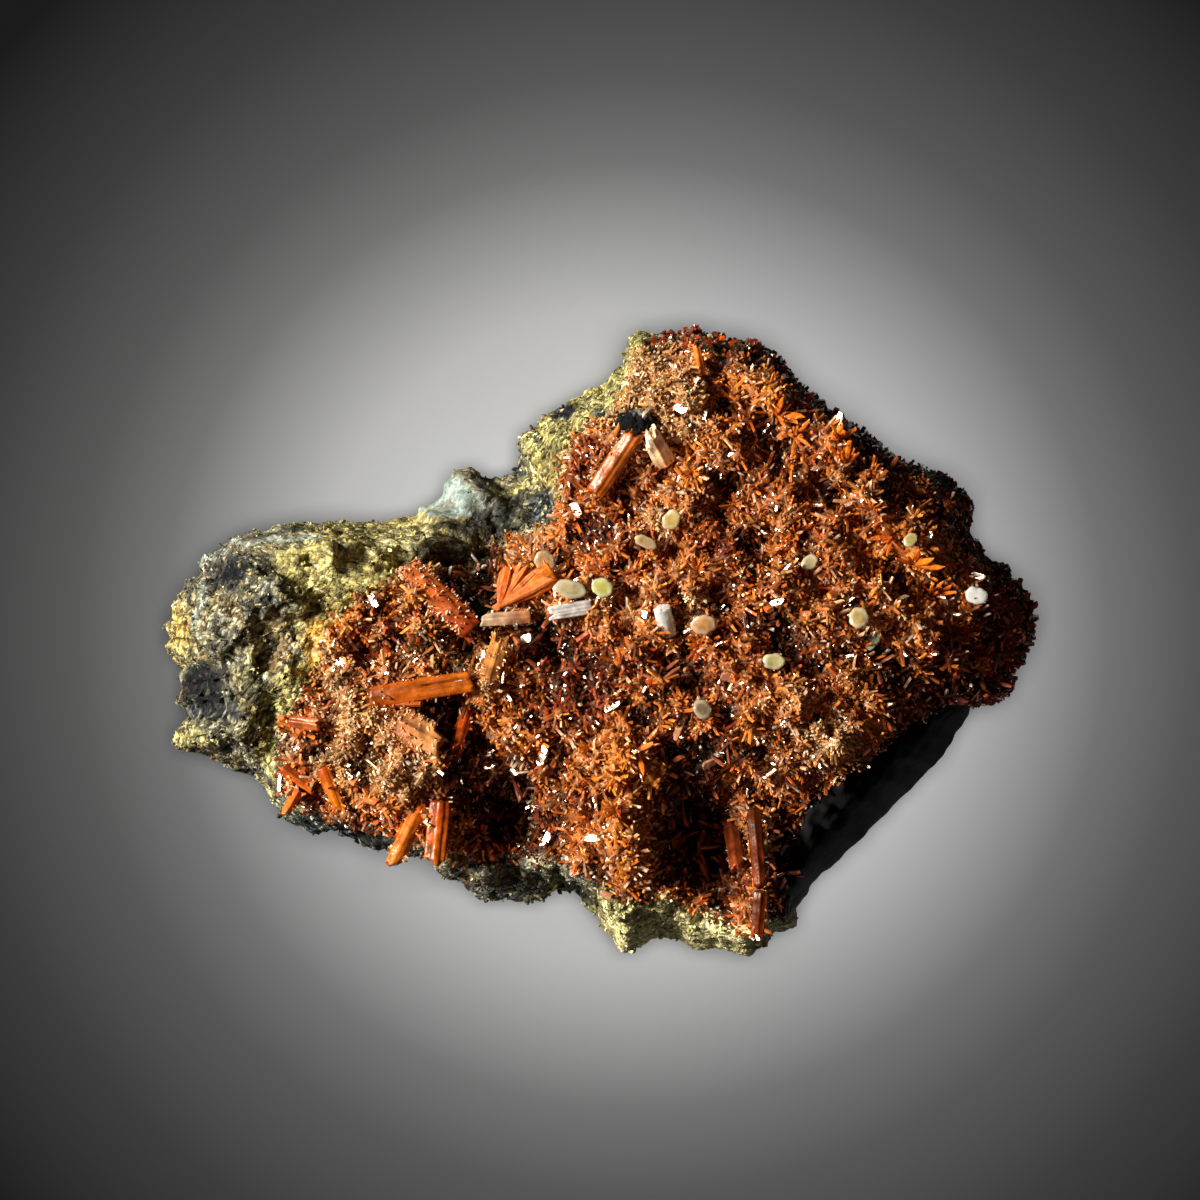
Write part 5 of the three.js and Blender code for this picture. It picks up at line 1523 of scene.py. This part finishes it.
# %% Floor
floor_mesh = bpy.data.meshes.new("studio_floor")
floor_mesh.from_pydata([(-2, -2, 0), (2, -2, 0), (2, 2, 0), (-2, 2, 0)], [], [(0, 1, 2, 3)])  # metres
floor = bpy.data.objects.new("studio_floor", floor_mesh)
bpy.context.collection.objects.link(floor)
paper, tree, surface = new_material("paper_with_painted_light_pool")
place = add(tree, "TexCoord")["Object"]
middle = add(tree, "VectorMath", {"operation": "DISTANCE"}, {0: place, 1: (0.0032, 0.0008, 0.0)})
reach_out = ranged(tree, middle["Value"], 0.0, 0.08, 0.0, 1.0)
# Distance from the middle as a share of 80 mm, and how much light the paper gives back there. This grey
# falls off from the middle outward: a pool of light painted on the floor.
LIGHT_POOL_GREYS = [
    (0.0, 0.62), (0.25, 0.565), (0.38, 0.46), (0.47, 0.295), (0.55, 0.165), (0.65, 0.094), (0.8, 0.046),
    (1, 0.011),
]
ramp = [(at, (grey, grey, grey, 1)) for at, grey in LIGHT_POOL_GREYS]
shade = add(tree, "ValToRGB", {"ramp": ramp}, {"Fac": reach_out})
fibre = add(tree, "TexNoise", {}, {"Vector": place, "Scale": 1500.0, "Detail": 2.0})
soft = add(tree, "Bump", {}, {"Strength": 0.05, "Distance": 0.00005, "Height": fibre["Fac"]})
principled(tree, surface, {
    "Base Color": shade["Color"], "Roughness": 0.9, "Specular IOR Level": 0.0, "Normal": soft[0],
})
floor_mesh.materials.append(paper)

# %% Lights
def lamp(name, place, aim, size, power, tint, lit, mirrored=True):
    """A square area light that faces its aim and lights the pieces of one collection only."""
    light = bpy.data.lights.new(name, "AREA")
    light.shape, light.size, light.energy = "SQUARE", size, power
    light.color = linear(tint)
    made = bpy.data.objects.new(name, light)
    bpy.context.collection.objects.link(made)
    made.location = place
    made.rotation_euler = (Vector(aim) - Vector(place)).to_track_quat("-Z", "Y").to_euler()
    made.light_linking.receiver_collection = lit
    made.visible_glossy = mirrored


def gathered(name, pieces):
    """A collection of the pieces, for a lamp to light."""
    collection = bpy.data.collections.new(name)
    for piece in pieces:
        collection.objects.link(piece)
    return collection


pieces = [piece for piece in bpy.data.objects if piece.type == "MESH" and piece is not floor]
specimen = gathered("specimen", pieces)
orange = (crocoite, crocoite_worn, crocoite_clear)
crystals = gathered("crystals", [piece for piece in pieces if piece.data.materials[0] in orange])
ground = gathered("ground", [floor])
lamp("key_light", KEY_PLACE * MM, (0, 0, 0.015), 0.17, 12.5, "#fff8ee", specimen)
lamp("fill_light", (0.05, -0.5, 0.5), (0, 0, 0.01), 0.6, 0.22, "#fff4ea", specimen, mirrored=False)
lamp("amber_light", (-0.1, -0.25, 0.65), (0, 0, 0.02), 0.6, 0.32, "#ff7028", crystals, mirrored=False)
lamp("floor_light", (0.0, 0.0, 1.6), (0, 0, 0), 0.5, 26.0, "#ffffff", ground)
world = bpy.data.worlds.new("studio")
world.use_nodes = True
sky = world.node_tree.nodes["Background"].inputs
sky["Color"].default_value = (*linear("#cfcfcf"), 1)
sky["Strength"].default_value = 0.03
bpy.context.scene.world = world
bpy.context.scene.view_settings.view_transform = "Standard"

# %% Camera
# A long lens, 229.7 mm on a sensor 36 mm wide, shows the specimen nearly without perspective.
lens = bpy.data.cameras.new("camera")
lens.lens, lens.sensor_width = 229.7, 36.0
lens.clip_start, lens.clip_end = 0.05, 10.0
camera = bpy.data.objects.new("camera", lens)
bpy.context.collection.objects.link(camera)
camera.location = CAMERA_PLACE * MM
bpy.context.scene.camera = camera
